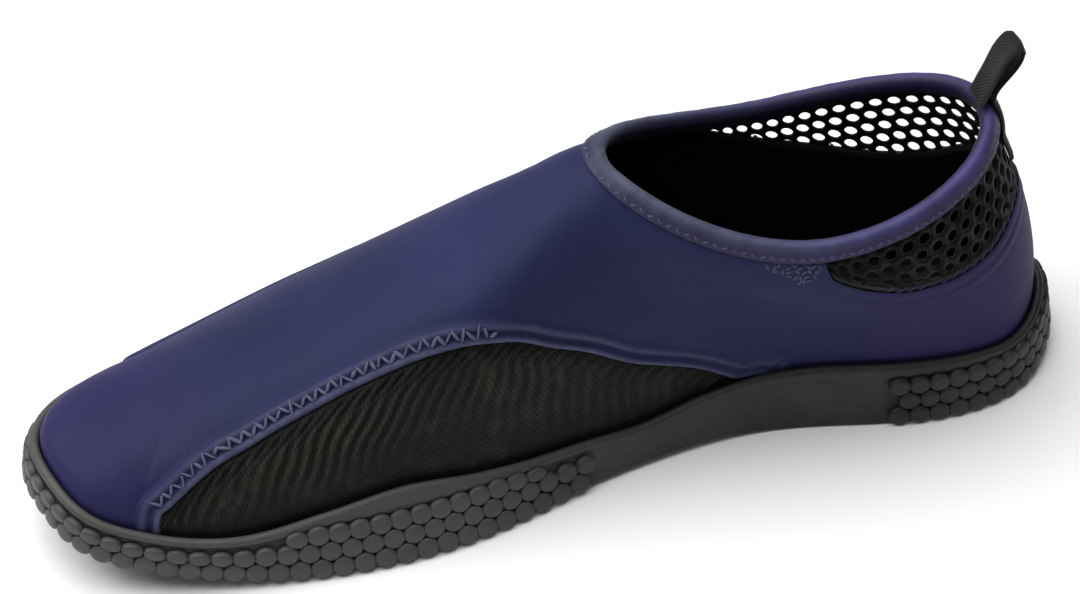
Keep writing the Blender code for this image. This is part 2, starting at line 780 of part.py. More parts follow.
def loop_path():
    """Middle line of the webbing in the plane of the back seam, from its tail to the binding's top."""
    edge, out, past = (v[0] for v in collar_frame(np.ones(1)))
    rest = GAP + WEBBING / 2
    points = []
    for down, stand in ((LOOP_TAIL, -MESH_STEP), (0.75 * LOOP_TAIL, -MESH_STEP),
                        (0.5 * LOOP_TAIL, -MESH_STEP), (0.22 * LOOP_TAIL, 0.4 * BINDING_BULGE)):
        place, normal = heel_line(down)
        points.append(place + normal * (stand + rest))
    for up in (0.1 * BINDING_REACH, 0.6 * BINDING_REACH, 1.1 * BINDING_REACH):
        points.append(edge + out * (BINDING_BULGE + rest) + past * up)
    lean = math.radians(LOOP_LEAN)
    rise = np.array([math.sin(lean), 0, math.cos(lean)])
    back = np.array([math.cos(lean), 0, -math.sin(lean)])
    tip = edge - out * NEOPRENE / 2 + past * BINDING_REACH + rise * LOOP_HEIGHT
    radius = (LOOP_HOLLOW + WEBBING) / 2
    for degrees in (0, 45, 90, 135, 180):
        angle = math.radians(degrees)
        points.append(tip + back * radius * math.cos(angle) + rise * radius * (math.sin(angle) - 1))
    sewn = edge - out * NEOPRENE / 2 - back * radius / 2 + past * (BINDING_REACH + 2 * GAP)
    points.append(sewn + rise * 0.35 * LOOP_HEIGHT - back * radius / 4)
    points.append(sewn)
    return np.array(points)


def make_pull_loop(look):
    """Webbing strap up the back seam that folds over into a loop and ends on the binding's top."""
    path = loop_path()
    along = unit(np.gradient(path, axis=0))
    across = np.stack([along[:, 2], np.zeros(len(path)), -along[:, 0]], axis=1)
    faces_of = [path + across * WEBBING / 2, path - across * WEBBING / 2]
    collar_radius = ((1 + COLLAR_EGG) * COLLAR_WIDTH / 2)**2 / ((COLLAR_FRONT - COLLAR_BACK) / 2)
    vertices = []
    for side in (-1, -0.5, 0, 0.5, 1):
        y = side * LOOP_WIDTH / 2
        bend = np.array([-y * y / 2 / collar_radius, y, 0])
        vertices += list(faces_of[0] + bend) + list(faces_of[1][::-1] + bend)
    count = 2 * len(path)
    faces = []
    for j in range(4):
        for i in range(count):
            k = (i + 1) % count
            faces.append([j * count + i, (j + 1) * count + i, (j + 1) * count + k, j * count + k])
    for i in range(len(path) - 1):
        k = count - 1 - i
        faces.append([i, i + 1, k - 1, k])
        faces.append([4 * count + n for n in (k, k - 1, i + 1, i)])
    return solid("pull_loop", vertices, faces, look)


def stand_on_origin(parts):
    """Carry the parts by an empty that puts the middle of their box over the origin."""
    corners = np.array([tuple(v.co) for part in parts for v in part.data.vertices])
    middle = (corners.min(axis=0) + corners.max(axis=0)) / 2
    carrier = bpy.data.objects.new("water_shoe", None)
    bpy.context.scene.collection.objects.link(carrier)
    carrier.location = (-middle[0], -middle[1], -corners[:, 2].min())
    for part in parts:
        part.parent = carrier


def main():
    for existing in list(bpy.data.objects):
        bpy.data.objects.remove(existing, do_unlink=True)
    rubber = material("sole_rubber", (0.055, 0.055, 0.056), 0.62)
    neoprene = material("neoprene", (0.030, 0.032, 0.105), 0.75)
    mesh = material("side_mesh", (0.016, 0.016, 0.015), 0.85)
    open_mesh = material("open_mesh", (0.016, 0.017, 0.014), 0.85)
    binding = material("binding", (0.050, 0.040, 0.170), 0.70)
    webbing = material("webbing", (0.010, 0.010, 0.010), 0.80)
    foam = material("insole_foam", (0.012, 0.012, 0.013), 0.90)
    parts = [
        make_outsole(rubber),
        make_insole(foam),
        make_upper(neoprene),
        make_side_mesh("side_mesh_medial", True, mesh),
        make_side_mesh("side_mesh_lateral", False, mesh),
        make_heel_mesh(open_mesh),
        make_binding(binding),
        make_pull_loop(webbing),
    ]
    stand_on_origin(parts)


main()
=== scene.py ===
"""Water shoe for the right foot: the looks of its pieces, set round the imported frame.

Toe towards -X, heel towards +X, inner (medial) side towards -Y, floor at z = 0, lengths in metres.
A ring position runs 0 to 1 from the toe's tip down the medial side to the back of the heel, and 1 to 2
back up the lateral side. A level runs from 0 at the rim of the sole to 1 at the ridge or the collar.
"""
import math

import bpy
import numpy as np
from mathutils import Matrix, Vector


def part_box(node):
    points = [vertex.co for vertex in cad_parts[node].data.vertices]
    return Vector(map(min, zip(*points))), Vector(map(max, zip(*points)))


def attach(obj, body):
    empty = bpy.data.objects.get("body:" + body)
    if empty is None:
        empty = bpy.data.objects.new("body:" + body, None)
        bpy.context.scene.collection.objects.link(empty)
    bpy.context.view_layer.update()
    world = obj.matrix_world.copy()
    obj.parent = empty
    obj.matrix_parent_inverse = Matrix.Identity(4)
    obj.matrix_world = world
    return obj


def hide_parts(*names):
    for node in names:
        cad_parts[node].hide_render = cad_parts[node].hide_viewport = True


bl_info = {
    "name": "Water shoe looks",
    "version": (1, 0, 0),
    "blender": (4, 5, 0),
    "location": "View3D > Sidebar > Water shoe",
    "description": "Builds the detailed pieces and materials of a water shoe round its frame",
    "category": "Object",
}

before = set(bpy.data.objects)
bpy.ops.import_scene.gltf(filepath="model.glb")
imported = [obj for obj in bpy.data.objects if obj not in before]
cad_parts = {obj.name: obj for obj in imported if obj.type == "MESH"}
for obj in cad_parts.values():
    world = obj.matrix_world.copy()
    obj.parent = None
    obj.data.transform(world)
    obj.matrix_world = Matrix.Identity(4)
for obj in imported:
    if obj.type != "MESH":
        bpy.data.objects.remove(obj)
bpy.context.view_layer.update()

# Overall sizes
LENGTH = 0.284
BALL_WIDTH = 0.0945
HEEL_WIDTH = 0.067
THROAT_HEIGHT = 0.086
SIDE_HEIGHT = 0.067
BACK_HEIGHT = 0.0795

# Outsole
TOE_SPRING = 0.016
HEEL_SPRING = 0.005
ARCH_RISE = 0.0015
TREAD = 0.006
WALL_HEIGHT = 0.018
FLARE = 0.0075
RIM = 0.0022
NUB_HEIGHT = 0.0016
NUB_PITCH = 0.0056
NUB_ROW = 0.0047
NUB_LEAST_ROW = 0.0026
FOREFOOT_NUBS = 0.485
HEEL_NUBS = 0.195
WALL_EDGE = 0.0008
TREAD_RELIEF = 0.0013
SOLE_COLUMNS = 760
# Lower edge of the sole: distance inside its wall and height over the tread
SOLE_EDGE = ((0.0075, TREAD_RELIEF), (0.0052, TREAD_RELIEF), (0.0045, 0.0003), (0.0040, 0.0),
             (0.0015, 0.0001), (0.0005, 0.0004))
# Welt line over the nubs: share of the way up to the rim, and distance out of the wall
WELT = ((0.02, 0.0), (0.10, 0.00025), (0.35, 0.0003), (0.7, 0.0003), (0.9, 0.0002))
# Rim: distance outside its inner edge, and height over the wall
RIM_SECTION = ((RIM - 0.0003, 0.0002), (0.6 * RIM, 0.0004), (0.25 * RIM, 0.0002), (0.05 * RIM, -0.0004),
               (0.0, -0.0015))

# Upper
NEOPRENE = 0.0028
MESH_STEP = 0.0008
INSOLE = 0.004
GAP = 0.0003
TOE_CENTRE = 0.86
COLLAR_FRONT = 0.129
COLLAR_BACK = 0.022
COLLAR_WIDTH = 0.061
COLLAR_DIP = 1.8
COLLAR_EGG = 0.10
FAN_SHARE = 0.14
THROAT_SHARE = 0.50
# Rough length of a whole side, and how far a mesh runs in under the neoprene: up and down as a length,
# at its ends as a share of a side
SIDE_RUN = 0.31
TUCK = 0.0035
END_TUCK = 0.012
# Thickness of the side panels and of the heel net, rows of points over the heel net's sheet, rows of its
# holes, and the place of its upper edge on the flat net
PANEL_THICKNESS = 0.0006
NET_THICKNESS = 0.0009
SHEET_ROWS = 24
HOLE_ROWS = 13
NET_TOP = 0.018
# Distances of the upper's rows from the edges of the side windows and of the heel window
SIDE_HEM_ROWS = (0.0, 0.0003, 0.0007, 0.0012, 0.0017, 0.0022, 0.0027, 0.0032, 0.0038, 0.0044, 0.0050,
                 0.0057, 0.0065, 0.0075, 0.0088, 0.0105)
HEEL_HEM_ROWS = (0.0, 0.0003, 0.0007, 0.0012, 0.0018, 0.0026, 0.0035)
# Ring position where the zigzag over a side window's hem ends
STITCHES_END = 0.425
# Soft creases on the upper: middle, half width, turn in plan (radians) and height
CREASES = (
    (0.034, -0.033, 0.043, 0.0065, 0.45, 0.0004),
    (-0.060, 0.012, 0.045, 0.0060, 1.30, -0.0003),
)

# Collar binding and pull loop
BINDING_REACH = 0.0038
BINDING_BULGE = 0.0008
LOOP_WIDTH = 0.0095
LOOP_HEIGHT = 0.0195
LOOP_LEAN = 26.0
WEBBING = 0.0013
LOOP_HOLLOW = 0.0016
LOOP_TAIL = 0.017
# Radius in plan of the back of the collar, and of the heel behind the loop's tail
COLLAR_ROUND = 0.021
HEEL_ROUND = 0.0135

# Section of the binding: outward in half widths, height in reaches, and painted light on it: a painted
# highlight along its top, painted shade on its inner face and where it turns down
BINDING_SECTION = (
    (0.80, -0.42, 0.15), (1.02, -0.44, 0.25), (1.10, -0.25, 0.25), (1.06, 0.00, 0.22), (1.08, 0.25, 0.35),
    (1.02, 0.50, 0.60), (0.90, 0.72, 0.90), (0.66, 0.88, 1.00), (0.36, 0.97, 0.80), (0.05, 1.00, 0.42),
    (-0.28, 0.96, 0.15), (-0.58, 0.86, 0.05), (-0.84, 0.68, 0.00), (-0.97, 0.45, 0.00), (-1.00, 0.20, 0.00),
    (-1.00, -0.10, 0.00), (-0.95, -0.35, 0.00), (-0.72, -0.36, 0.00), (-0.72, 0.06, 0.00), (0.0, 0.06, 0.00),
    (0.78, 0.06, 0.00), (0.80, -0.20, 0.00),
)

# Step for slopes as a share of a whole side, steps on each leg of the plan's curve, and the least and
# greatest length of one level
SMALL = 1e-3
PLAN_STEPS = 48
LEVEL_LENGTHS = (0.02, 0.2)

# Even light from all round, and soft lights: place, width and power
ROUND_LIGHT = 0.16
LIGHTS = (
    ("overhead", (-0.35, 0.25, 1.5), 2.2, 38.0),
    ("key", (-1.0, 0.25, 0.9), 0.7, 4.0),
    ("rear", (0.1, 1.4, 0.9), 1.0, 1.5),
)

# Camera: direction and roll in degrees, distance, focal length in widths of the picture, and aim
CAMERA_TURN = -12.0
CAMERA_RISE = 42.96
CAMERA_ROLL = -2.15
CAMERA_DISTANCE = 0.800
CAMERA_FOCUS = 3029 / 1080
CAMERA_AIM = (-0.0015, 0.00457, 0.035)


def table(names, *rows):
    """A table as named columns; the first column is the one it is read by."""
    return dict(zip(names.split(), np.array(rows, float).T))


# Plan of the outsole: half widths to each side, as shares of the width at that station
PLAN = table(
    "station medial lateral",
    (0.02, 0.250, 0.250),
    (0.06, 0.410, 0.408),
    (0.12, 0.483, 0.492),
    (0.20, 0.460, 0.505),
    (0.30, 0.355, 0.482),
    (0.40, 0.343, 0.450),
    (0.50, 0.390, 0.447),
    (0.60, 0.465, 0.476),
    (0.70, 0.498, 0.508),
    (0.76, 0.490, 0.498),
    (0.84, 0.458, 0.420),
    (0.91, 0.412, 0.310),
    (0.96, 0.345, 0.195),
    (0.99, 0.197, 0.066),
)
TOE_TIP = 0.047

# Wall of the outsole: height over the tread and inward slope, as shares of WALL_HEIGHT and FLARE
WALL = table(
    "station medial_height lateral_height medial_flare lateral_flare",
    (0.00, 0.82, 0.82, 0.28, 0.28),
    (0.19, 1.02, 0.98, 0.40, 0.40),
    (0.30, 0.97, 0.94, 0.43, 0.36),
    (0.36, 0.77, 0.84, 0.41, 0.32),
    (0.43, 0.62, 0.78, 0.29, 0.30),
    (0.50, 0.71, 0.82, 0.45, 0.36),
    (0.58, 0.88, 0.90, 0.77, 0.45),
    (0.66, 1.02, 0.92, 1.00, 0.50),
    (0.74, 0.91, 0.84, 0.73, 0.45),
    (0.82, 0.69, 0.69, 0.29, 0.29),
    (1.00, 0.64, 0.64, 0.29, 0.29),
)

# Ridge of the instep, from the centre of the toe (0) to the throat (1): height as a share of
# THROAT_HEIGHT and sideways place as a share of BALL_WIDTH
RIDGE = table(
    "along height aside",
    (0.00, 0.418, -0.080),
    (0.20, 0.500, -0.066),
    (0.40, 0.600, -0.055),
    (0.60, 0.722, -0.055),
    (0.80, 0.865, -0.035),
    (1.00, 1.000, 0.000),
)

# Spokes of the upper, from the rim of the sole up to the ridge or the collar: heading from straight
# ahead and drop at the upper end in degrees, then how far each end pulls, as shares of the chord
SPOKES = table(
    "share heading drop foot_pull head_pull",
    (0.00, 0.0, 0.0, 0.270, 0.440),
    (0.14, 80.0, 0.0, 0.250, 0.425),
    (0.30, 80.0, 0.0, 0.250, 0.360),
    (0.40, 58.0, 5.6, 0.298, 0.341),
    (0.46, 44.2, 12.5, 0.373, 0.375),
    (0.50, 45.3, 28.9, 0.380, 0.406),
    (0.54, 59.1, 33.6, 0.379, 0.339),
    (0.60, 58.6, 33.0, 0.362, 0.334),
    (0.67, 81.6, 54.3, 0.352, 0.320),
    (0.75, 92.0, 70.0, 0.345, 0.320),
    (0.90, 130.0, 72.0, 0.335, 0.330),
    (1.00, 180.0, 66.0, 0.330, 0.345),
)

# Upper edge of the side mesh, as a level on the spokes (0 at the rim of the sole, 1 at the top)
SIDE_MESH = table(
    "share medial_level lateral_level",
    (0.160, 0.180, 0.180),
    (0.182, 0.415, 0.200),
    (0.215, 0.540, 0.220),
    (0.260, 0.600, 0.250),
    (0.310, 0.605, 0.285),
    (0.370, 0.535, 0.325),
    (0.443, 0.445, 0.345),
    (0.505, 0.365, 0.325),
    (0.560, 0.265, 0.260),
    (0.620, 0.135, 0.135),
    (0.680, -0.120, -0.120),
)
SIDE_MESH_START = 0.16
SIDE_MESH_END = 0.68

# Lower edge of the heel mesh on each side, as a level on the spokes; it reaches further on the lateral
MEDIAL_HEEL_MESH = table(
    "share level",
    (0.797, 0.835),
    (0.806, 0.735),
    (0.822, 0.630),
    (0.850, 0.575),
    (0.897, 0.580),
    (0.950, 0.630),
    (1.000, 0.640),
)
LATERAL_HEEL_MESH = table(
    "share level",
    (0.755, 0.890),
    (0.770, 0.820),
    (0.790, 0.730),
    (0.815, 0.630),
    (0.845, 0.530),
    (0.876, 0.500),
    (0.905, 0.530),
    (0.950, 0.615),
    (1.000, 0.640),
)
MEDIAL_HEEL_START = 0.797
LATERAL_HEEL_START = 0.755

# Cross-section of the sewn edge of the neoprene: height over its face at a distance from the edge
HEM = table(
    "distance height",
    (0.0000, -0.00090),
    (0.0004, 0.00000),
    (0.0010, 0.00042),
    (0.0017, 0.00040),
    (0.0025, -0.00020),
    (0.0031, -0.00042),
    (0.0038, 0.00010),
    (0.0047, 0.00052),
    (0.0057, 0.00018),
    (0.0068, -0.00030),
    (0.0082, -0.00012),
    (0.0105, 0.00000),
)

# Painted highlight on the sewn hem at a distance from its edge: paleness where light catches its border and
# the ridge of its seam
HEM_HIGHLIGHT = table(
    "distance paleness",
    (0.0000, 0.30),
    (0.0003, 0.90),
    (0.0012, 0.90),
    (0.0019, 0.10),
    (0.0032, 0.00),
    (0.0040, 0.55),
    (0.0050, 0.50),
    (0.0058, 0.00),
    (0.0075, 0.00),
)


def hermite(t, step, low, high, low_slope, high_slope):
    """Cubic curve from one value to the next with given slopes, at a share t of the step."""
    rise = 3 * t**2 - 2 * t**3
    start = (t**3 - 2 * t**2 + t) * step * low_slope
    end = (t**3 - t**2) * step * high_slope
    return low * (1 - rise) + high * rise + start + end


def read(tab, name, where):
    """Smooth value of a table's column, by cubic curves through its rows."""
    keys, values = list(tab.values())[0], tab[name]
    slopes = np.gradient(values, keys)
    where = np.clip(where, keys[0], keys[-1])
    i = np.clip(np.searchsorted(keys, where) - 1, 0, len(keys) - 2)
    step = keys[i + 1] - keys[i]
    return hermite((where - keys[i]) / step, step, values[i], values[i + 1], slopes[i], slopes[i + 1])


def ease(start, end, where):
    """Smooth step from 0 at start to 1 at end."""
    t = np.clip((where - start) / (end - start), 0, 1)
    return 3 * t**2 - 2 * t**3


def unit(vectors):
    return vectors / np.linalg.norm(vectors, axis=-1, keepdims=True)


def run_along(points):
    """Length along a line of points, from its first."""
    return np.concatenate([[0], np.cumsum(np.linalg.norm(np.diff(points, axis=0), axis=1))])


def closed_spline(points, steps):
    """Smooth closed curve through the points, with the same number of steps on each leg."""
    count = len(points)
    legs = np.linalg.norm(np.roll(points, -1, axis=0) - points, axis=1)
    matrix = np.zeros((count, count))
    right = np.zeros_like(points)
    for i in range(count):
        before, after, following = legs[i - 1], legs[i], (i + 1) % count
        matrix[i, i - 1] = 1 / before
        matrix[i, i] = 2 / before + 2 / after
        matrix[i, following] = 1 / after
        right[i] = 3 * (points[i] - points[i - 1]) / before**2
        right[i] += 3 * (points[following] - points[i]) / after**2
    slopes = np.linalg.solve(matrix, right)
    t = np.linspace(0, 1, steps, endpoint=False)[:, None]
    ends = zip(legs, points, np.roll(points, -1, axis=0), slopes, np.roll(slopes, -1, axis=0))
    return np.concatenate([hermite(t, *leg) for leg in ends])


def station_x(station):
    return (0.5 - station) * LENGTH


def width_at(station):
    return HEEL_WIDTH + (BALL_WIDTH - HEEL_WIDTH) * ease(0.15, 0.62, station)


def plan_curve():
    """Outer edge of the outsole in plan, from the toe's tip down the medial side and back."""
    x = station_x(PLAN["station"])
    width = width_at(PLAN["station"])
    medial = np.stack([x, -PLAN["medial"] * width], axis=1)
    lateral = np.stack([x, PLAN["lateral"] * width], axis=1)
    tip = np.array([[station_x(1), -TOE_TIP * BALL_WIDTH]])
    heel = np.array([[station_x(0), 0.0]])
    return closed_spline(np.concatenate([tip, medial[::-1], heel, lateral]), PLAN_STEPS)


PLAN_CURVE = plan_curve()


def plan_lookup():
    """Ring position and outward normal at each point of the plan's curve, and the length of both sides."""
    run = run_along(np.concatenate([PLAN_CURVE, PLAN_CURVE[:1]]))
    heel = PLAN_STEPS * (len(PLAN["station"]) + 1)
    before = run[:heel + 1] / run[heel]
    after = 1 + (run[heel + 1:] - run[heel]) / (run[-1] - run[heel])
    tangents = np.roll(PLAN_CURVE, -1, axis=0) - np.roll(PLAN_CURVE, 1, axis=0)
    normals = unit(np.stack([tangents[:, 1], -tangents[:, 0]], axis=1))
    return np.concatenate([before, after]), normals, run[heel], run[-1] - run[heel]


PLAN_RING, PLAN_NORMALS, MEDIAL_RUN, LATERAL_RUN = plan_lookup()


def around(values, ring):
    """Values along the plan's curve, read at ring positions."""
    ring = np.mod(ring, 2)
    closed = np.concatenate([values, values[:1]])
    return np.stack([np.interp(ring, PLAN_RING, closed[:, k]) for k in range(values.shape[1])], axis=-1)


def share_of(ring):
    ring = np.mod(ring, 2)
    return np.minimum(ring, 2 - ring)


def is_medial(ring):
    return np.mod(ring, 2) <= 1


def plan_station(ring):
    return 0.5 - around(PLAN_CURVE, ring)[..., 0] / LENGTH


def sided(name, ring):
    """Value of the wall's table on the side where the ring position lies."""
    station = plan_station(ring)
    medial = read(WALL, "medial_" + name, station)
    lateral = read(WALL, "lateral_" + name, station)
    return np.where(is_medial(ring), medial, lateral)


def tread_height(station):
    """Underside of the sole: flat under heel and ball, raised at the waist, sprung at both ends."""
    toe = np.clip((station - 0.72) / 0.28, 0, 1)
    heel = np.clip((0.07 - station) / 0.07, 0, 1)
    waist = ease(0.28, 0.38, station) * (1 - ease(0.46, 0.56, station))
    return TOE_SPRING * toe**2 + HEEL_SPRING * heel**2 + ARCH_RISE * waist


def wall_height(ring):
    return WALL_HEIGHT * sided("height", ring)


def wall_flare(ring):
    """How far the wall slopes in from its foot to its rim."""
    return FLARE * sided("flare", ring)


def sole_point(ring, inset, height):
    """Point over the plan at a distance inside its edge, and at a height over the tread."""
    place = around(PLAN_CURVE, ring) - around(PLAN_NORMALS, ring) * np.asarray(inset)[..., None]
    level = tread_height(plan_station(ring)) + height
    return np.concatenate([place, level[..., None]], axis=-1)


def rim_inset(ring):
    """Distance from the plan's edge to the inner edge of the sole's rim."""
    return NUB_HEIGHT + wall_flare(ring) + RIM


def ridge_point(along):
    front = station_x(TOE_CENTRE)
    back = LENGTH / 2 - COLLAR_FRONT
    x = front + (back - front) * along
    y = BALL_WIDTH * read(RIDGE, "aside", along)
    z = THROAT_HEIGHT * read(RIDGE, "height", along)
    return np.stack([x, y, z], axis=-1)


def ridge_forward(along):
    """Direction of the ridge towards the toe."""
    return unit(ridge_point(np.maximum(along - SMALL, 0)) - ridge_point(np.minimum(along + SMALL, 1)))


def from_rest(way):
    """Share of a way from 0 to 1 that starts without speed, so that surfaces join smoothly."""
    return way**2 * (2 - way)


def along_ridge(share):
    way = np.clip((THROAT_SHARE - share) / (THROAT_SHARE - FAN_SHARE), 0, 1)
    return 1 - from_rest(way)


def collar_turn(share):
    return from_rest(np.clip((share - THROAT_SHARE) / (1 - THROAT_SHARE), 0, 1))


def collar_point(turn, side):
    """Edge of the upper round the foot opening: turn 0 at the throat, 1 at the back."""
    angle = math.pi * turn
    middle = LENGTH / 2 - (COLLAR_FRONT + COLLAR_BACK) / 2
    x = middle - (COLLAR_FRONT - COLLAR_BACK) / 2 * np.cos(angle)
    y = side * COLLAR_WIDTH / 2 * np.sin(angle) * (1 - COLLAR_EGG * np.cos(angle))
    front = np.clip(np.cos(angle), 0, 1)**COLLAR_DIP
    back = np.clip(-np.cos(angle), 0, 1)**COLLAR_DIP
    z = SIDE_HEIGHT + (THROAT_HEIGHT - SIDE_HEIGHT) * front + (BACK_HEIGHT - SIDE_HEIGHT) * back
    return np.stack([x, y, z], axis=-1)


def spoke_ends(ring):
    """Foot and head of each spoke, with the pull at both ends."""
    share = share_of(ring)
    side = np.where(is_medial(ring), -1.0, 1.0)
    along, turn = along_ridge(share), collar_turn(share)
    on_ridge = (share <= THROAT_SHARE)[..., None]
    head = np.where(on_ridge, ridge_point(along), collar_point(turn, side))
    foot = sole_point(ring, rim_inset(ring) + GAP, wall_height(ring))
    heading = np.radians(read(SPOKES, "heading", share))[..., None]
    drop = np.radians(read(SPOKES, "drop", share))[..., None]
    sideways = side[..., None] * np.array([0.0, 1.0, 0.0])
    over_ridge = np.cos(heading) * ridge_forward(along) + np.sin(heading) * sideways
    level = np.cos(heading) * np.array([-1.0, 0.0, 0.0]) + np.sin(heading) * sideways
    at_collar = np.cos(drop) * level - np.sin(drop) * np.array([0.0, 0.0, 1.0])
    blend = ease(0.0, 0.12, turn)[..., None]
    direction = unit(over_ridge * (1 - blend) + at_collar * blend)
    chord = np.linalg.norm(head - foot, axis=-1, keepdims=True)
    foot_pull = np.array([0.0, 0.0, 1.0]) * chord * read(SPOKES, "foot_pull", share)[..., None]
    head_pull = direction * chord * read(SPOKES, "head_pull", share)[..., None]
    return foot, head, foot_pull, head_pull


def upper_point(ring, level):
    """Outer face of the upper. Levels under 0 go straight down inside the sole, to its floor at -1."""
    foot, head, foot_pull, head_pull = spoke_ends(ring)
    t = np.clip(level, 0, 1)[..., None]
    curve = foot * (1 - t)**3 + (foot + foot_pull) * 3 * t * (1 - t)**2
    curve = curve + (head + head_pull) * 3 * t**2 * (1 - t) + head * t**3
    down = np.clip(-level, 0, 1) * (wall_height(ring) - TREAD - GAP)
    curve[..., 2] -= down
    return curve


def upper_normal(ring, level):
    """Outward normal of the upper's outer face."""
    small = SMALL / 10
    across = upper_point(ring + small, level) - upper_point(ring - small, level)
    up = upper_point(ring, np.minimum(level + small, 1)) - upper_point(ring, level - small)
    normal = np.cross(across, up)
    share = share_of(ring)
    over_ridge = np.cross(-ridge_forward(along_ridge(share)), np.array([0.0, 1.0, 0.0]))
    on_ridge = (level > 1 - small) & (share < THROAT_SHARE)
    return unit(np.where(on_ridge[..., None], over_ridge, normal))


def shared_points(ring, levels):
    """Index of the grid point that each grid point shares its place with, over the closed ridge."""
    columns, rows = levels.shape
    index = np.arange(columns * rows).reshape(columns, rows)
    share = np.round(share_of(ring), 6)
    first = {}
    for i in range(columns):
        for j in range(rows):
            if levels[i, j] < 1 - 1e-9 or share[i] > THROAT_SHARE + 1e-6:
                continue
            place = max(share[i], FAN_SHARE)
            index[i, j] = first.setdefault(place, index[i, j])
    return index


def side_mesh_edge(ring):
    share = share_of(ring)
    sides = [read(SIDE_MESH, side + "_level", share) for side in ("medial", "lateral")]
    return np.where(is_medial(ring), *sides)


def heel_mesh_edge(ring):
    share = share_of(ring)
    sides = [read(tab, "level", share) for tab in (MEDIAL_HEEL_MESH, LATERAL_HEEL_MESH)]
    return np.where(is_medial(ring), *sides)


def rows_under(top, count):
    """Levels from the sole's floor to its rim, then in equal steps up to a top level."""
    rim = np.minimum(0, top - 0.1)[:, None]
    steps = np.linspace(0, 1, count + 1)
    return np.concatenate([-np.ones_like(rim), rim + (top[:, None] - rim) * steps], axis=1)


def collar_frame(ring):
    """Edge of the upper at the collar, with the directions out of the wall and past the edge."""
    small = SMALL / 10
    edge = upper_point(ring, np.ones(len(ring)))
    out = upper_normal(ring, np.ones(len(ring)))
    turn = collar_turn(share_of(ring))
    side = np.where(ring <= 1, -1.0, 1.0)
    along = collar_point(turn + small, side) - collar_point(turn - small, side)
    along = unit(along * np.where(ring <= 1, 1.0, -1.0)[:, None])
    past = unit(np.cross(out, along))
    return edge, unit(np.cross(along, past)), past


def wall_slant(ring):
    """Length of the wall up its slope."""
    return np.hypot(wall_height(ring) - WALL_EDGE, wall_flare(ring))


def wall_point(ring, distance):
    """Point of the smooth wall at a distance up its slope."""
    rise = distance / wall_slant(ring)
    height = WALL_EDGE + (wall_height(ring) - WALL_EDGE) * rise
    return sole_point(ring, NUB_HEIGHT + wall_flare(ring) * rise, height)


def nub_row_edges(ring):
    """Distances up the wall between the rows of nubs; low walls press the upper rows together."""
    third = np.minimum(3 * NUB_ROW, 0.88 * wall_slant(ring))
    second = np.minimum(2 * NUB_ROW, 0.82 * third)
    first = np.minimum(NUB_ROW, 0.60 * second)
    return np.stack([np.zeros_like(ring), first, second, third])


def has_nub(station, tall):
    """Nubs cover the forefoot and the heel, in rows that are tall enough; the waist is smooth."""
    return tall > NUB_LEAST_ROW and (station > FOREFOOT_NUBS or station < HEEL_NUBS)


def heel_line(down):
    """Point and normal of the upper's outer face at the back, at a distance under the collar's edge."""
    levels = np.linspace(0, 1, 101)
    run = run_along(upper_point(np.ones(101), levels))
    level = np.interp([run[-1] - down], run, levels)
    return upper_point(np.ones(1), level)[0], upper_normal(np.ones(1), level)[0]


def loop_path():
    """Middle line of the webbing in the plane of the back seam, from its tail to the binding's top."""
    edge, out, past = (v[0] for v in collar_frame(np.ones(1)))
    rest = GAP + WEBBING / 2
    points = []
    for down, stand in ((LOOP_TAIL, -MESH_STEP), (0.75 * LOOP_TAIL, -MESH_STEP),
                        (0.5 * LOOP_TAIL, -MESH_STEP), (0.22 * LOOP_TAIL, 0.4 * BINDING_BULGE)):
        place, normal = heel_line(down)
        points.append(place + normal * (stand + rest))
    for up in (0.1 * BINDING_REACH, 0.6 * BINDING_REACH, 1.1 * BINDING_REACH):
        points.append(edge + out * (BINDING_BULGE + rest) + past * up)
    lean = math.radians(LOOP_LEAN)
    rise = np.array([math.sin(lean), 0, math.cos(lean)])
    back = np.array([math.cos(lean), 0, -math.sin(lean)])
    tip = edge - out * NEOPRENE / 2 + past * BINDING_REACH + rise * LOOP_HEIGHT
    radius = (LOOP_HOLLOW + WEBBING) / 2
    for degrees in (0, 45, 90, 135, 180):
        angle = math.radians(degrees)
        points.append(tip + back * radius * math.cos(angle) + rise * radius * (math.sin(angle) - 1))
    sewn = edge - out * NEOPRENE / 2 - back * radius / 2 + past * (BINDING_REACH + 2 * GAP)
    points.append(sewn + rise * 0.35 * LOOP_HEIGHT - back * radius / 4)
    points.append(sewn)
    return np.array(points)


def own_to_row():
    """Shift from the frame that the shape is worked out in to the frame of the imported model."""
    low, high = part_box("insole")
    ring = np.linspace(0, 2, 1440, endpoint=False)
    inset = rim_inset(ring) + NEOPRENE + 2 * GAP
    edge = sole_point(ring, inset, np.full(len(ring), TREAD + GAP))
    middle = (edge.min(axis=0) + edge.max(axis=0)) / 2
    return np.array([(low.x + high.x) / 2 - middle[0], (low.y + high.y) / 2 - middle[1], 0.0])


SHIFT = own_to_row()


class Value:
    """An output socket that takes part in arithmetic; each operation adds its Math node."""

    def __init__(self, graph, socket):
        self.graph = graph
        self.socket = socket

    def maths(self, operation, *others):
        return self.graph.add("ShaderNodeMath", [self, *others], operation=operation)

    def __add__(self, other):
        return self.maths("ADD", other)

    def __mul__(self, other):
        return self.maths("MULTIPLY", other)

    def __sub__(self, other):
        return self.maths("SUBTRACT", other)

    def __rsub__(self, other):
        return self.graph.add("ShaderNodeMath", [other, self], operation="SUBTRACT")

    def __truediv__(self, other):
        return self.maths("DIVIDE", other)

    def __pow__(self, other):
        return self.maths("POWER", other)

    def output(self, name):
        return Value(self.graph, self.socket.node.outputs[name])


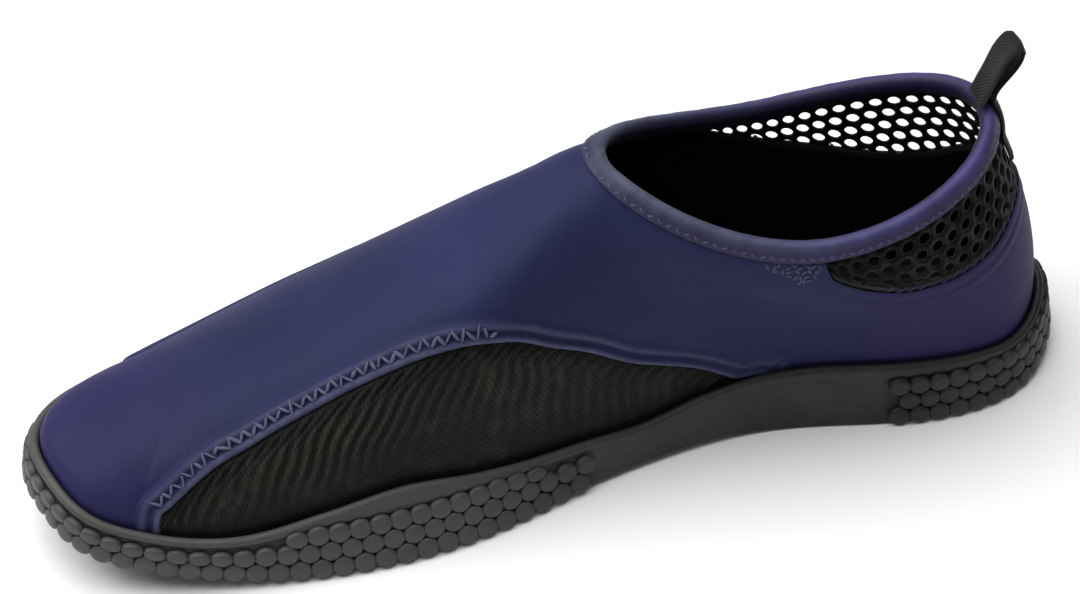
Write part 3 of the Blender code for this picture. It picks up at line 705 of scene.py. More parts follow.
class Graph:
    """A node tree that is written as expressions."""

    def __init__(self, tree):
        self.tree = tree

    def add(self, kind, inputs=(), output=0, **settings):
        """A node: its settings come first, then the values or links of its sockets."""
        node = self.tree.nodes.new(kind)
        for name, value in settings.items():
            setattr(node, name, value)
        pairs = inputs.items() if isinstance(inputs, dict) else enumerate(inputs)
        for name, value in pairs:
            if isinstance(value, Value):
                self.tree.links.new(value.socket, node.inputs[name])
            else:
                node.inputs[name].default_value = value
        return Value(self, node.outputs[output]) if node.outputs else None

    def axes(self, vector):
        """The parts of a vector: X as it is, Y and Z as its other outputs."""
        return self.add("ShaderNodeSeparateXYZ", [vector])

    def mix(self, first, second, factor):
        """Blend of two colours."""
        first, second = (c if isinstance(c, Value) else (*c, 1.0) for c in (first, second))
        inputs = {0: factor, 6: first, 7: second}
        return self.add("ShaderNodeMix", inputs, output=2, data_type="RGBA")

    def step(self, value, low, high):
        """Smooth step of a value between two limits."""
        inputs = {"Value": value, "From Min": low, "From Max": high}
        return self.add("ShaderNodeMapRange", inputs, interpolation_type="SMOOTHSTEP")

    def noise(self, vector, scale, detail=2.0, roughness=0.5):
        inputs = {"Vector": vector, "Scale": scale, "Detail": detail, "Roughness": roughness}
        return self.add("ShaderNodeTexNoise", inputs)

    def cells(self, vector, scale):
        return self.add("ShaderNodeTexVoronoi", {"Vector": vector, "Scale": scale})

    def stored(self, name, kind="FLOAT_VECTOR"):
        """The values that the points of a piece have under a name."""
        return self.add("GeometryNodeInputNamedAttribute", {"Name": name}, data_type=kind)


class Finish(Graph):
    """A Principled material written as expressions."""

    def __init__(self, name, colour, roughness=0.6, **constants):
        self.colour = colour
        self.material = bpy.data.materials.new(name)
        self.material.use_nodes = True
        super().__init__(self.material.node_tree)
        self.shader = self.tree.nodes["Principled BSDF"]
        self.shader.inputs["Base Color"].default_value = (*colour, 1.0)
        self.shader.inputs["Roughness"].default_value = roughness
        self.material.diffuse_color = (*colour, 1.0)
        for socket, value in constants.items():
            self.shader.inputs[socket.replace("_", " ")].default_value = value
        coordinates = self.add("ShaderNodeTexCoord", output="Object")
        self.place = coordinates
        self.sheet = coordinates.output("UV")

    def shades(self, low, high, factor):
        """Blend from one brightness of the material's own colour to another."""
        return self.mix(brighter(self.colour, low), brighter(self.colour, high), factor)

    def attribute(self, name):
        """The piece's own values, one for each of its points."""
        return self.add("ShaderNodeAttribute", output="Fac", attribute_name=name)

    def set(self, socket, value):
        self.tree.links.new(value.socket, self.shader.inputs[socket])

    def bump(self, *layers):
        """Relief from pairs of a height field and the depth in metres that it stands for."""
        normal = None
        for height, depth in layers:
            inputs = {"Height": height, "Distance": depth, "Strength": 1.0}
            if normal:
                inputs["Normal"] = normal
            normal = self.add("ShaderNodeBump", inputs)
        self.set("Normal", normal)


def colour_of(name):
    return tuple(getattr(bpy.context.scene.shoe_colours, name))


def brighter(colour, factor):
    return tuple(min(1.0, c * factor) for c in colour)


def neoprene_finish():
    """Jersey-faced neoprene: fine knit, soft gloss, drifts of blue and violet, and a painted highlight on
    the ridges of the sewn hems.
    """
    base = colour_of("neoprene")
    finish = Finish("neoprene", base, 0.62, Specular_IOR_Level=0.13)
    place = finish.place
    drift = finish.noise(place, 14.0, 3.0)
    cloud = finish.noise(place, 60.0, 4.0, 0.6)
    along = finish.axes(place)
    ends = finish.step(along.maths("ABSOLUTE"), 0.055, 0.135)
    violet = finish.step(finish.noise(place, 9.0, 1.0) + ends * 0.25, 0.42, 0.72)
    blue = finish.shades(0.82, 1.18, finish.step(drift, 0.3, 0.7))
    tint = (base[0] * 1.45, base[1] * 0.82, base[2] * 1.15)
    tone = finish.mix(blue, tint, violet * 0.55)
    tone = finish.mix(tone, brighter(base, 1.5), finish.step(cloud, 0.54, 0.80) * 0.30)
    # Painted highlight on the ridges of the sewn hems, broken up at random
    fold = finish.attribute("fold")
    uneven_highlight = finish.step(finish.noise(place, 300.0, 3.0), 0.25, 0.75) * 0.45 + 0.55
    tone = finish.mix(tone, colour_of("fold"), fold * uneven_highlight)
    finish.set("Base Color", tone)
    finish.set("Roughness", cloud * 0.16 + 0.52)
    knit = finish.cells(place, 1500.0)
    crumple = finish.noise(place, 120.0, 4.0, 0.62)
    finish.bump((knit, 0.00005), (crumple, 0.00018))
    return finish.material


def lining_finish():
    """Black jersey on the inside."""
    base = colour_of("lining")
    finish = Finish("lining", base, 0.9, Specular_IOR_Level=0.1)
    fuzz = finish.noise(finish.place, 900.0, 3.0)
    finish.set("Base Color", finish.shades(0.6, 1.7, fuzz))
    finish.bump((fuzz, 0.00010))
    return finish.material


def mesh_finish(name, base):
    """Knitted mesh: rows of small dark eyes between matt strands, paler and brown-green in patches at random
    and under a painted highlight on the side panels' ribs.
    """
    finish = Finish(name, base, 0.75, Sheen_Weight=0.04, Specular_IOR_Level=0.15)
    across = finish.axes(finish.sheet)
    up = across.output("Y")
    wander = finish.noise(finish.place, 160.0, 2.0) * 0.0012
    rows = ((across + wander) * 4300.0).maths("SINE") * ((up + wander) * 3100.0).maths("SINE")
    eye = finish.step(rows, 0.05, 0.75)
    patch = finish.step(finish.noise(finish.place, 110.0, 4.0, 0.6), 0.50, 0.70) * 0.35
    # Painted highlight on the crests of the side panels' ribs and pleats
    patch = patch + finish.attribute("fold")
    strand = finish.mix(brighter(base, 0.8), (base[0] * 5.0, base[1] * 5.0, base[2] * 4.2), patch)
    finish.set("Base Color", finish.mix(strand, brighter(base, 0.15), eye * 0.6))
    finish.set("Roughness", eye * 0.2 + 0.65)
    finish.bump((1.0 - eye, 0.00016), (finish.noise(finish.place, 500.0, 3.0), 0.00012))
    return finish.material


def rubber_finish():
    """Moulded rubber with grain and scuffs, and painted light: pale grey at the ball, darker from the waist
    back.
    """
    base = colour_of("rubber")
    finish = Finish("sole_rubber", base, 0.55, Specular_IOR_Level=0.35)
    place = finish.place
    grain = finish.noise(place, 1300.0, 3.0)
    cloud = finish.noise(place, 38.0, 4.0, 0.6)
    flattened = finish.add("ShaderNodeVectorMath", [place, (1.0, 1.0, 3.0)], operation="MULTIPLY")
    scuff = finish.noise(flattened, 170.0, 5.0, 0.7)
    along = finish.axes(place)
    # Painted light: paler towards the toe, darker from the waist back
    ball = finish.step(along * -1.0, -0.030, 0.035)
    tone = finish.shades(0.70, 1.55, finish.step(cloud, 0.32, 0.68))
    tone = finish.mix(tone, brighter(base, 4.2), ball * 0.75)
    tone = finish.mix(tone, brighter(base, 3.0), finish.step(scuff, 0.58, 0.80) * 0.30)
    # Painted shade on the wall between and behind the nubs
    finish.set("Base Color", finish.mix(tone, brighter(base, 0.12), finish.attribute("pit") * 0.9))
    finish.set("Roughness", finish.step(scuff, 0.4, 0.75) * 0.22 + 0.46)
    finish.bump((grain, 0.00004), (scuff, 0.00012))
    return finish.material


def binding_finish():
    """Stretch binding: painted shade where it turns down and on its inner face, a painted highlight along
    its top, greyer towards the throat.
    """
    base = colour_of("binding")
    finish = Finish("binding", base, 0.5, Sheen_Weight=0.04, Sheen_Roughness=0.4, Specular_IOR_Level=0.25)
    ribs = (finish.axes(finish.sheet) * 5200.0).maths("SINE") * 0.5 + 0.5
    cloud = finish.noise(finish.place, 110.0, 4.0, 0.6)
    crest_light = finish.attribute("fold") * (finish.step(cloud, 0.25, 0.70) * 0.5 + 0.5)
    front = 1.0 - finish.step(finish.axes(finish.place), 0.02, 0.10)
    grey = (base[0] * 1.7, base[1] * 2.3, base[2] * 1.0)
    tone = finish.mix(brighter(base, 1.25), grey, front)
    # Painted shade where the painted light is low, painted highlight where it is high
    finish.set("Base Color", finish.mix(brighter(base, 0.30), tone, crest_light))
    finish.set("Roughness", cloud * 0.2 + 0.42)
    finish.bump((ribs, 0.00002), (cloud, 0.00020))
    return finish.material


def webbing_finish():
    """Black woven webbing: slanted yarns across the strap."""
    base = colour_of("webbing")
    finish = Finish("webbing", base, 0.6, Sheen_Weight=0.05, Specular_IOR_Level=0.25)
    across = finish.axes(finish.sheet)
    yarns = ((across.output("Y") * 5200.0) + (across * 2600.0)).maths("SINE")
    weave = yarns * (across * 7800.0).maths("SINE") * 0.5 + 0.5
    finish.set("Base Color", finish.shades(0.6, 2.6, weave ** 2.0))
    finish.bump((weave, 0.00018))
    return finish.material


def thread_finish(name):
    """Spun polyester thread."""
    base = colour_of(name)
    finish = Finish(name, base, 0.6, Sheen_Weight=0.1, Specular_IOR_Level=0.3)
    twist = finish.noise(finish.place, 2500.0, 1.0)
    finish.set("Base Color", finish.shades(0.6, 1.3, twist))
    finish.bump((twist, 0.00006))
    return finish.material


def foam_finish():
    """Cloth-covered foam footbed with a dimpled face."""
    base = colour_of("lining")
    finish = Finish("insole_foam", base, 0.85, Specular_IOR_Level=0.15)
    dimple = finish.cells(finish.place, 420.0)
    cloud = finish.noise(finish.place, 60.0, 3.0)
    finish.set("Base Color", finish.shades(1.5, 6.0, cloud * dimple))
    finish.bump((dimple, 0.0003))
    return finish.material


def mesh_object(name, vertices, faces, looks, face_looks=None, sheet=None, sharp=50):
    """An object with its place in its mesh; sheet gives each point's place on the flat material."""
    mesh = bpy.data.meshes.new(name)
    mesh.from_pydata((np.asarray(vertices) + SHIFT).tolist(), [], faces)
    for look in looks:
        mesh.materials.append(look)
    if face_looks is not None:
        mesh.polygons.foreach_set("material_index", face_looks)
    if sheet is not None:
        corners = np.empty(len(mesh.loops), int)
        mesh.loops.foreach_get("vertex_index", corners)
        layer = mesh.uv_layers.new(name="UVMap")
        layer.data.foreach_set("uv", np.asarray(sheet, np.float32)[corners].ravel())
    if len(faces):
        mesh.shade_smooth()
        mesh.set_sharp_from_angle(angle=math.radians(sharp))
    made = bpy.data.objects.new(name, mesh)
    bpy.context.scene.collection.objects.link(made)
    return made


def store(piece, name, values):
    """Give each point of a piece a number or a vector of its own under a name."""
    values = np.asarray(values, np.float32)
    kind, field = ("FLOAT", "value") if values.ndim == 1 else ("FLOAT_VECTOR", "vector")
    piece.data.attributes.new(name, kind, "POINT").data.foreach_set(field, values.ravel())


def loft(rings, capped=True):
    """Points and faces of a skin through closed rings, with strips across both ends or joined to itself."""
    count = len(rings[0])
    faces = []
    for j in range(len(rings) - capped):
        up = (j + 1) % len(rings)
        for i in range(count):
            k = (i + 1) % count
            faces.append([j * count + i, j * count + k, up * count + k, up * count + i])
    ends = ((0, -1), ((len(rings) - 1) * count, 1)) if capped else ()
    for first, order in ends:
        for i in range(count // 2):
            corners = [i, i + 1, (count - i - 1) % count, (count - i) % count]
            faces.append([first + c for c in dict.fromkeys(corners)][::order])
    return np.concatenate(rings), faces


def settle(piece, slot, *nodes):
    """Make a finished piece ride on the shoe and hide the nodes it stands for; its finish slot is not used.
    """
    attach(piece, "root")
    for node in nodes:
        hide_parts(node)
    return piece


def dense_ring(start, end, marks, step):
    """Ring positions from start to end, closely and evenly spaced by length, with one at each mark."""
    fine = np.linspace(start, end, 1601)
    edges = [upper_point(fine, np.full_like(fine, level)) for level in (0.0, 1.0)]
    steps = [np.linalg.norm(np.diff(edge, axis=0), axis=1) for edge in edges]
    run = np.concatenate([[0], np.cumsum(np.maximum(*steps))])
    stops = sorted({start, end, *[m for m in marks if start < m < end]})
    ring = []
    for low, high in zip(stops, stops[1:]):
        near, far = np.interp([low, high], fine, run)
        count = max(2, math.ceil((far - near) / step))
        ring += list(np.interp(np.linspace(near, far, count, endpoint=False), run, fine))
    return np.array(ring + [end])


def both_sides(shares):
    return [*shares, *[2 - s for s in shares]]


def level_length(ring, edge):
    """Length of one level square to an edge, given as levels, for each ring position."""
    here = edge(ring)
    run = upper_point(ring, here) - upper_point(ring, here - SMALL)
    ahead, behind = (upper_point(place, edge(place)) for place in (ring + SMALL, ring - SMALL))
    slope = unit(ahead - behind)
    across = run - slope * np.sum(run * slope, axis=-1, keepdims=True)
    return np.clip(np.linalg.norm(across, axis=-1) / SMALL, *LEVEL_LENGTHS)


def skin_grid(ring, levels, depth):
    """Points of the upper at depths under its outer face, over a grid."""
    grid = np.repeat(ring[:, None], levels.shape[1], axis=1)
    return upper_point(grid, levels) - upper_normal(grid, levels) * depth[..., None]


def sheet_places(points):
    """Place of each grid point on the flat material: run along the middle row, and run up the column."""
    along = run_along(points[:, points.shape[1] // 2])
    steps = np.linalg.norm(np.diff(points, axis=1), axis=2)
    up = np.concatenate([np.zeros((len(points), 1)), np.cumsum(steps, axis=1)], axis=1)
    return np.stack([np.repeat(along[:, None], points.shape[1], axis=1), up], axis=-1)


def wall_solid(name, outer, inner, looks, kept=None, index=None, sharp=80, fold=None):
    """Closed solid between two grids of points over the kept cells; the inner face has the last look.

    An index names the grid points that share a place, on a grid that closes into a ring.
    """
    columns, rows = outer.shape[:2]
    below = columns * rows
    legs = columns - (index is None)
    index = np.arange(below).reshape(columns, rows) if index is None else index
    outside = []
    for i in range(legs):
        k = (i + 1) % columns
        for j in range(rows - 1):
            if kept is None or kept[i, j]:
                corners = [index[i, j], index[k, j], index[k, j + 1], index[i, j + 1]]
                corners = list(dict.fromkeys(int(c) for c in corners))
                if len(corners) > 2:
                    outside.append(corners)
    edges = set()
    for face in outside:
        edges.update(zip(face, face[1:] + face[:1]))
    faces = list(outside)
    faces += [[c + below for c in reversed(face)] for face in outside]
    faces += [[b, a, a + below, b + below] for a, b in edges if (b, a) not in edges]
    used = np.zeros(2 * below, bool)
    for face in faces:
        used[face] = True
    number = np.cumsum(used) - 1
    faces = [number[face].tolist() for face in faces]
    face_looks = np.zeros(len(faces), int)
    face_looks[len(outside):] = len(looks) - 1
    points = [both.reshape(-1, 3) for both in (outer, inner)]
    sheet = [sheet_places(outer).reshape(-1, 2)] * 2
    made = mesh_object(name, np.concatenate(points)[used], faces, looks, face_looks,
                       np.concatenate(sheet)[used], sharp)
    # Store the painted light that the finish reads
    if fold is not None:
        store(made, "fold", np.concatenate([fold.ravel()] * 2)[used])
    return made


def in_window(positions, start, end):
    """Whether each leg of a closed ring, from one position to the next, lies in a window."""
    inside = (positions > start - 1e-6) & (positions < end + 1e-6)
    return inside & np.roll(inside, -1)


def smooth_scale(ring, edge):
    """Length of one level square to an edge, evened out along the shoe."""
    fine = np.linspace(0, 2, 1601)[:-1]
    scale = level_length(fine, edge)
    weight = np.exp(-(np.arange(-40, 41) / 14.0)**2)
    scale = np.convolve(np.concatenate([scale[-40:], scale, scale[:40]]), weight / weight.sum(), "valid")
    return np.interp(ring, fine, scale, period=2)


def closed_upper_ring(step):
    """Ring positions round the whole shoe, with one at each place where a piece begins or ends."""
    marks = both_sides([FAN_SHARE, SIDE_MESH_START, THROAT_SHARE, SIDE_MESH_END, LATERAL_HEEL_START,
                        MEDIAL_HEEL_START, *(SIDE_MESH_START - HEM["distance"] / SIDE_RUN)])
    return dense_ring(0.0, 2.0, [*marks, 1.0], step)[:-1]


def window_line(edge, start, end, upright):
    """Points along the edge of a window, up from the sole at its ends where it has upright ends."""
    ring = dense_ring(start, end, [], 0.0004)
    levels = edge(ring)
    if not upright:
        return upper_point(ring, levels)
    up = np.linspace(0, 1, 24)
    first, last = (np.minimum(-0.1, level) * (1 - up) + level * up for level in levels[[0, -1]])
    ring = np.concatenate([np.full(24, ring[0]), ring, np.full(24, ring[-1])])
    return upper_point(ring, np.concatenate([first, levels, last[::-1]]))


def distance_to(points, line):
    """Distance of each point of a grid to the nearest of a line's points."""
    flat = points.reshape(-1, 3)
    found = [np.sqrt(((part[:, None] - line[None])**2).sum(axis=2).min(axis=1))
             for part in np.array_split(flat, 60)]
    return np.concatenate(found).reshape(points.shape[:-1])


def edge_rows(edge, scale, distances, limit):
    """Changes of level for distances from an edge, pressed together to stay on this side of a limit."""
    steps = np.array(distances)[None] / scale[:, None]
    room = np.abs(limit - edge)[:, None]
    squeeze = np.minimum(1.0, 0.9 * room / steps[:, -1:])
    return steps * squeeze


def soft_creases(points):
    """Height of the soft troughs and ridges that a foot and a box leave on the upper."""
    x, y, z = points[..., 0], points[..., 1], points[..., 2]
    height = np.zeros(x.shape)
    for cx, cy, cz, wide, turn, depth in CREASES:
        along = (x - cx) * math.cos(turn) + (y - cy) * math.sin(turn)
        across = -(x - cx) * math.sin(turn) + (y - cy) * math.cos(turn)
        near = np.exp(-((z - cz) / 0.030)**2 - (along / 0.022)**2)
        height += depth * near * np.exp(-(across / wide)**2)
    return height


def build_upper():
    """Neoprene shell with its windows, rolled and stitched hems, soft creases and a black lining."""
    ring = closed_upper_ring(bpy.context.scene.shoe_sizes.grid_step)
    low, high = side_mesh_edge(ring), heel_mesh_edge(ring)
    foot = rows_under(low, 3)[:, :-1]
    above = low[:, None] + edge_rows(low, smooth_scale(ring, side_mesh_edge), SIDE_HEM_ROWS, high)
    heel_rows = edge_rows(high, smooth_scale(ring, heel_mesh_edge), HEEL_HEM_ROWS, above[:, -1])
    below = high[:, None] - heel_rows[:, ::-1]
    between = above[:, -1:] + (below[:, :1] - above[:, -1:]) * np.linspace(0, 1, 17)[1:-1]
    crown = high[:, None] + (1 - high[:, None]) * np.linspace(0, 1, 9)[1:]
    levels = np.concatenate([foot, above, between, below, crown], axis=1)
    heel_span = (MEDIAL_HEEL_START, 2 - LATERAL_HEEL_START)
    kept = np.ones((len(ring), levels.shape[1] - 1), bool)
    kept[in_window(share_of(ring), SIDE_MESH_START, SIDE_MESH_END), :foot.shape[1]] = False
    kept[in_window(ring, *heel_span), -crown.shape[1]:] = False
    places = skin_grid(ring, levels, np.zeros(levels.shape))
    spans = ((SIDE_MESH_START, SIDE_MESH_END), (2 - SIDE_MESH_END, 2 - SIDE_MESH_START))
    from_side = distance_to(places, np.concatenate([window_line(side_mesh_edge, *s, True) for s in spans]))
    from_heel = distance_to(places, window_line(heel_mesh_edge, *heel_span, False))
    relief = read(HEM, "height", from_side)
    relief += 0.35 * read(HEM, "height", np.maximum(from_heel, 0.0002))
    relief += soft_creases(places) * ease(0.05, 0.25, levels)
    outer = skin_grid(ring, levels, -relief)
    inner = skin_grid(ring, levels, np.full(levels.shape, NEOPRENE))
    looks = [neoprene_finish(), lining_finish()]
    # Painted highlight: paleness on the border and seam ridge of the side windows' hems
    fold = read(HEM_HIGHLIGHT, "paleness", from_side)
    upper = wall_solid("upper_neoprene", outer, inner, looks, kept, shared_points(ring, levels), 50, fold)
    return settle(upper, "neoprene", "upper")


def panel_relief(places, levels, top, scale):
    """Gathers of a side panel: upright ribs that wander, and slanted pleats at its stitched edge, with a
    painted highlight on their crests that fades out just under the hem.
    """
    along, up = places[..., 0], places[..., 1]
    wander = 0.0007 * np.sin(up * 170 + along * 55) + 0.0004 * np.sin(up * 410 + along * 150 + 1.0)
    ribs = np.sin((along + wander) * 2 * math.pi / 0.0041 + 0.9 * np.sin(along * 88))
    fine = np.sin((along + 0.5 * wander) * 2 * math.pi / 0.0017 + 0.7)
    inside = (top[:, None] - levels) * scale[:, None]
    near = np.exp(-(np.maximum(inside - 0.001, 0) / 0.0040)**2)
    pleats = np.sin((along + 0.9 * inside) * 2 * math.pi / 0.0038)
    drift = np.sin(along * 75 + 0.4 + 1.2 * np.sin(up * 90)) * np.sin(up * 80 + along * 33 + 0.8)
    height = np.clip(levels / np.maximum(top[:, None], 0.05), 0, 1)
    patch = (0.55 + 0.45 * drift) * (0.12 + 0.88 * ease(0.10, 0.50, height))
    relief = (0.00055 * ribs + 0.00012 * fine) * patch * (1 - 0.6 * near) + 0.00070 * pleats * near
    # Painted highlight on the crests of the ribs and pleats, left out just under the hem where shade falls
    crest_light = np.clip(ribs * 0.8 + fine * 0.2, 0, 1) * patch * (1 - near) + 0.35 * np.clip(pleats, 0, 1) * near
    return relief * ease(0.0, 0.002, inside), crest_light * ease(0.001, 0.006, inside)


def build_side_mesh(name, medial, look):
    """Knitted mesh panel that runs in under the neoprene's hem."""
    start, end = SIDE_MESH_START - END_TUCK, SIDE_MESH_END
    span = (start, end) if medial else (2 - end, 2 - start)
    marks = both_sides([THROAT_SHARE, SIDE_MESH_START])
    ring = dense_ring(*span, marks, 0.6 * bpy.context.scene.shoe_sizes.grid_step)
    top, scale = side_mesh_edge(ring), smooth_scale(ring, side_mesh_edge)
    levels = rows_under(top + TUCK / scale, 39)
    levels[:, 0] = -0.8
    inside = (top[:, None] - levels) * scale[:, None]
    depth = MESH_STEP + 0.0007 * (1 - ease(-0.0006, 0.0010, inside))
    relief, crest_light = panel_relief(sheet_places(skin_grid(ring, levels, depth)), levels, top, scale)
    outer = skin_grid(ring, levels, depth - relief)
    inner = skin_grid(ring, levels, depth + PANEL_THICKNESS)
    panel = wall_solid(name, outer, inner, [look], fold=crest_light)
    return settle(panel, "side_mesh", name.replace("_panel", ""))


def build_side_meshes():
    """Knitted mesh panels of both sides."""
    look = mesh_finish("side_mesh", colour_of("side_mesh"))
    for side, medial in (("medial", True), ("lateral", False)):
        build_side_mesh(f"side_mesh_{side}_panel", medial, look)


def new_tree(name, **kinds):
    """The graph of a new node tree for meshes, with its inputs by name and kind, and those inputs."""
    tree = bpy.data.node_groups.new(name, "GeometryNodeTree")
    for label, kind in {"Geometry": "Geometry", **kinds, "Look": "Material"}.items():
        tree.interface.new_socket(label, in_out="INPUT", socket_type="NodeSocket" + kind)
    tree.interface.new_socket("Geometry", in_out="OUTPUT", socket_type="NodeSocketGeometry")
    graph = Graph(tree)
    return graph, graph.add("NodeGroupInput")


def end_tree(graph, given, made):
    """Turn what a tree made into plain mesh with its look, and close the tree."""
    real = graph.add("GeometryNodeRealizeInstances", [made])
    dressed = graph.add("GeometryNodeSetMaterial", {"Geometry": real, "Material": given.output("Look")})
    graph.add("NodeGroupOutput", [dressed])
    return graph.tree


def repeat_tree():
    """Geometry nodes: a rounded stud or stitch on every point, turned to its facing and direction."""
    graph, given = new_tree("set_out_studs", Length="Float", Width="Float", Height="Float",
                            Squareness="Float", Tilt="Float", Segments="Int", Rings="Int")
    ball = graph.add("GeometryNodeMeshUVSphere",
                     {"Segments": given.output("Segments"), "Rings": given.output("Rings"), "Radius": 1.0})
    parts = graph.axes(graph.add("GeometryNodeInputPosition"))
    side, upright = parts.output("Y"), parts.output("Z")
    flat_top = upright.maths("SIGN") * upright.maths("ABSOLUTE") ** (1.0 - given.output("Squareness"))
    level = (parts ** 2.0 + side ** 2.0).maths("SQRT").maths("MAXIMUM", 0.0001)
    widen = level ** (0.0 - given.output("Squareness") * 0.6)
    shaped = graph.add("ShaderNodeCombineXYZ", [parts * widen * given.output("Length") * 0.5,
                                                side * widen * given.output("Width") * 0.5,
                                                flat_top * given.output("Height")])
    stud = graph.add("GeometryNodeSetPosition", {"Geometry": ball, "Position": shaped})
    stud = graph.add("GeometryNodeSetShadeSmooth", {"Geometry": stud, "Shade Smooth": True})
    turn = graph.add("FunctionNodeAlignRotationToVector", {"Vector": graph.stored("facing")}, axis="Z")
    along = {"Rotation": turn, "Vector": graph.stored("along")}
    turn = graph.add("FunctionNodeAlignRotationToVector", along, axis="X", pivot_axis="Z")
    odd = graph.add("GeometryNodeInputIndex").maths("MODULO", 2.0) * 2.0 - 1.0
    lean = graph.add("ShaderNodeCombineXYZ", [0.0, 0.0, odd * given.output("Tilt")])
    lean = graph.add("FunctionNodeEulerToRotation", [lean])
    turn = graph.add("FunctionNodeRotateRotation", {"Rotation": turn, "Rotate By": lean},
                     rotation_space="LOCAL")
    set_out = graph.add("GeometryNodeInstanceOnPoints", {"Points": given, "Instance": stud,
                                                         "Rotation": turn, "Scale": graph.stored("size")})
    return end_tree(graph, given, set_out)


def set_out(name, slot, rows, look, size, squareness, tilt=0.0, detail=(8, 6)):
    """A piece with a stud or stitch at every place, each with its facing, direction and own scale."""
    rows = (*rows, np.ones(np.shape(rows[0])))
    piece = mesh_object(name, rows[0], [], [])
    for label, values in zip(("facing", "along", "size"), rows[1:]):
        store(piece, label, values)
    tree = bpy.data.node_groups.get("set_out_studs") or repeat_tree()
    values = dict(zip(("Length", "Width", "Height", "Segments", "Rings"), (*size, *detail)))
    run_tree(piece, tree, **values, Squareness=squareness, Tilt=tilt, Look=look)
    return settle(piece, slot)


def run_tree(piece, tree, **values):
    """Run a node tree on a piece, with its inputs set by their identifiers, and keep the plain mesh."""
    modifier = piece.modifiers.new(tree.name, "NODES")
    modifier.node_group = tree
    for item in tree.interface.items_tree:
        if item.in_out == "INPUT" and item.name in values:
            modifier[item.identifier] = values[item.name]
    return bake_modifiers(piece)


def bake_modifiers(piece):
    """Turn a piece's modifiers into plain mesh."""
    bpy.context.view_layer.update()
    evaluated = piece.evaluated_get(bpy.context.evaluated_depsgraph_get())
    mesh = bpy.data.meshes.new_from_object(evaluated)
    piece.modifiers.clear()
    old = piece.data
    piece.data = mesh
    bpy.data.meshes.remove(old)
    mesh.name = piece.name
    return piece


def nub_points():
    """Middle, facing, direction and size of every nub on the wall of the sole."""
    columns = 4 * round((MEDIAL_RUN + LATERAL_RUN) / 2 / NUB_PITCH)
    rows = []
    for row in range(3):
        for start in range(row % 2, columns + row % 2, 2):
            centre = np.mod((start + 1) * 2 / columns, 2)
            low, high = nub_row_edges(np.array([centre]))[row:row + 2, 0]
            if not has_nub(plan_station(centre), high - low):
                continue
            middle = (low + high) / 2
            across = unit(wall_point(centre + SMALL, middle) - wall_point(centre - SMALL, middle))
            up = unit(wall_point(centre, high) - wall_point(centre, low))
            tall = min(1.0, 0.94 * (high - low) / (NUB_ROW * 0.86))
            rows.append((wall_point(centre, middle), unit(np.cross(across, up)), across, (1.0, tall, 1.0)))
    return [np.array(values) for values in zip(*rows)]


def tread_points(pitch):
    """Place, facing and direction of every stud under the ball and the heel, in staggered rows."""
    rows = []
    outline = sole_point(np.linspace(0, 2, 720, endpoint=False), np.full(720, NUB_HEIGHT + 0.0062),
                         np.zeros(720))[:, :2]
    height = pitch * math.sqrt(3) / 2
    for line, x in enumerate(np.arange(-LENGTH / 2, LENGTH / 2, height)):
        if HEEL_NUBS + 0.02 < 0.5 - x / LENGTH < FOREFOOT_NUBS - 0.02:
            continue
        for y in np.arange(-0.06, 0.06, pitch) + (line % 2) * pitch / 2:
            if inside_outline(outline, x, y):
                rows.append((x, y))
    flat = np.array(rows)
    station = 0.5 - flat[:, 0] / LENGTH
    level = tread_height(station)
    slope = (tread_height(station + SMALL) - tread_height(station - SMALL)) / (-2 * SMALL * LENGTH)
    facing = unit(np.stack([slope, np.zeros(len(flat)), -np.ones(len(flat))], axis=1))
    return np.column_stack([flat, level + TREAD_RELIEF]), facing, np.tile([1.0, 0.0, 0.0], (len(flat), 1))


def inside_outline(outline, x, y):
    """Whether a point lies inside a closed outline, by counting crossings."""
    after = np.roll(outline, -1, axis=0)
    spans = (outline[:, 1] > y) != (after[:, 1] > y)
    rise = np.where(spans, after[:, 1] - outline[:, 1], 1.0)
    cross = outline[:, 0] + (y - outline[:, 1]) / rise * (after[:, 0] - outline[:, 0])
    return np.count_nonzero(spans & (cross > x)) % 2 == 1


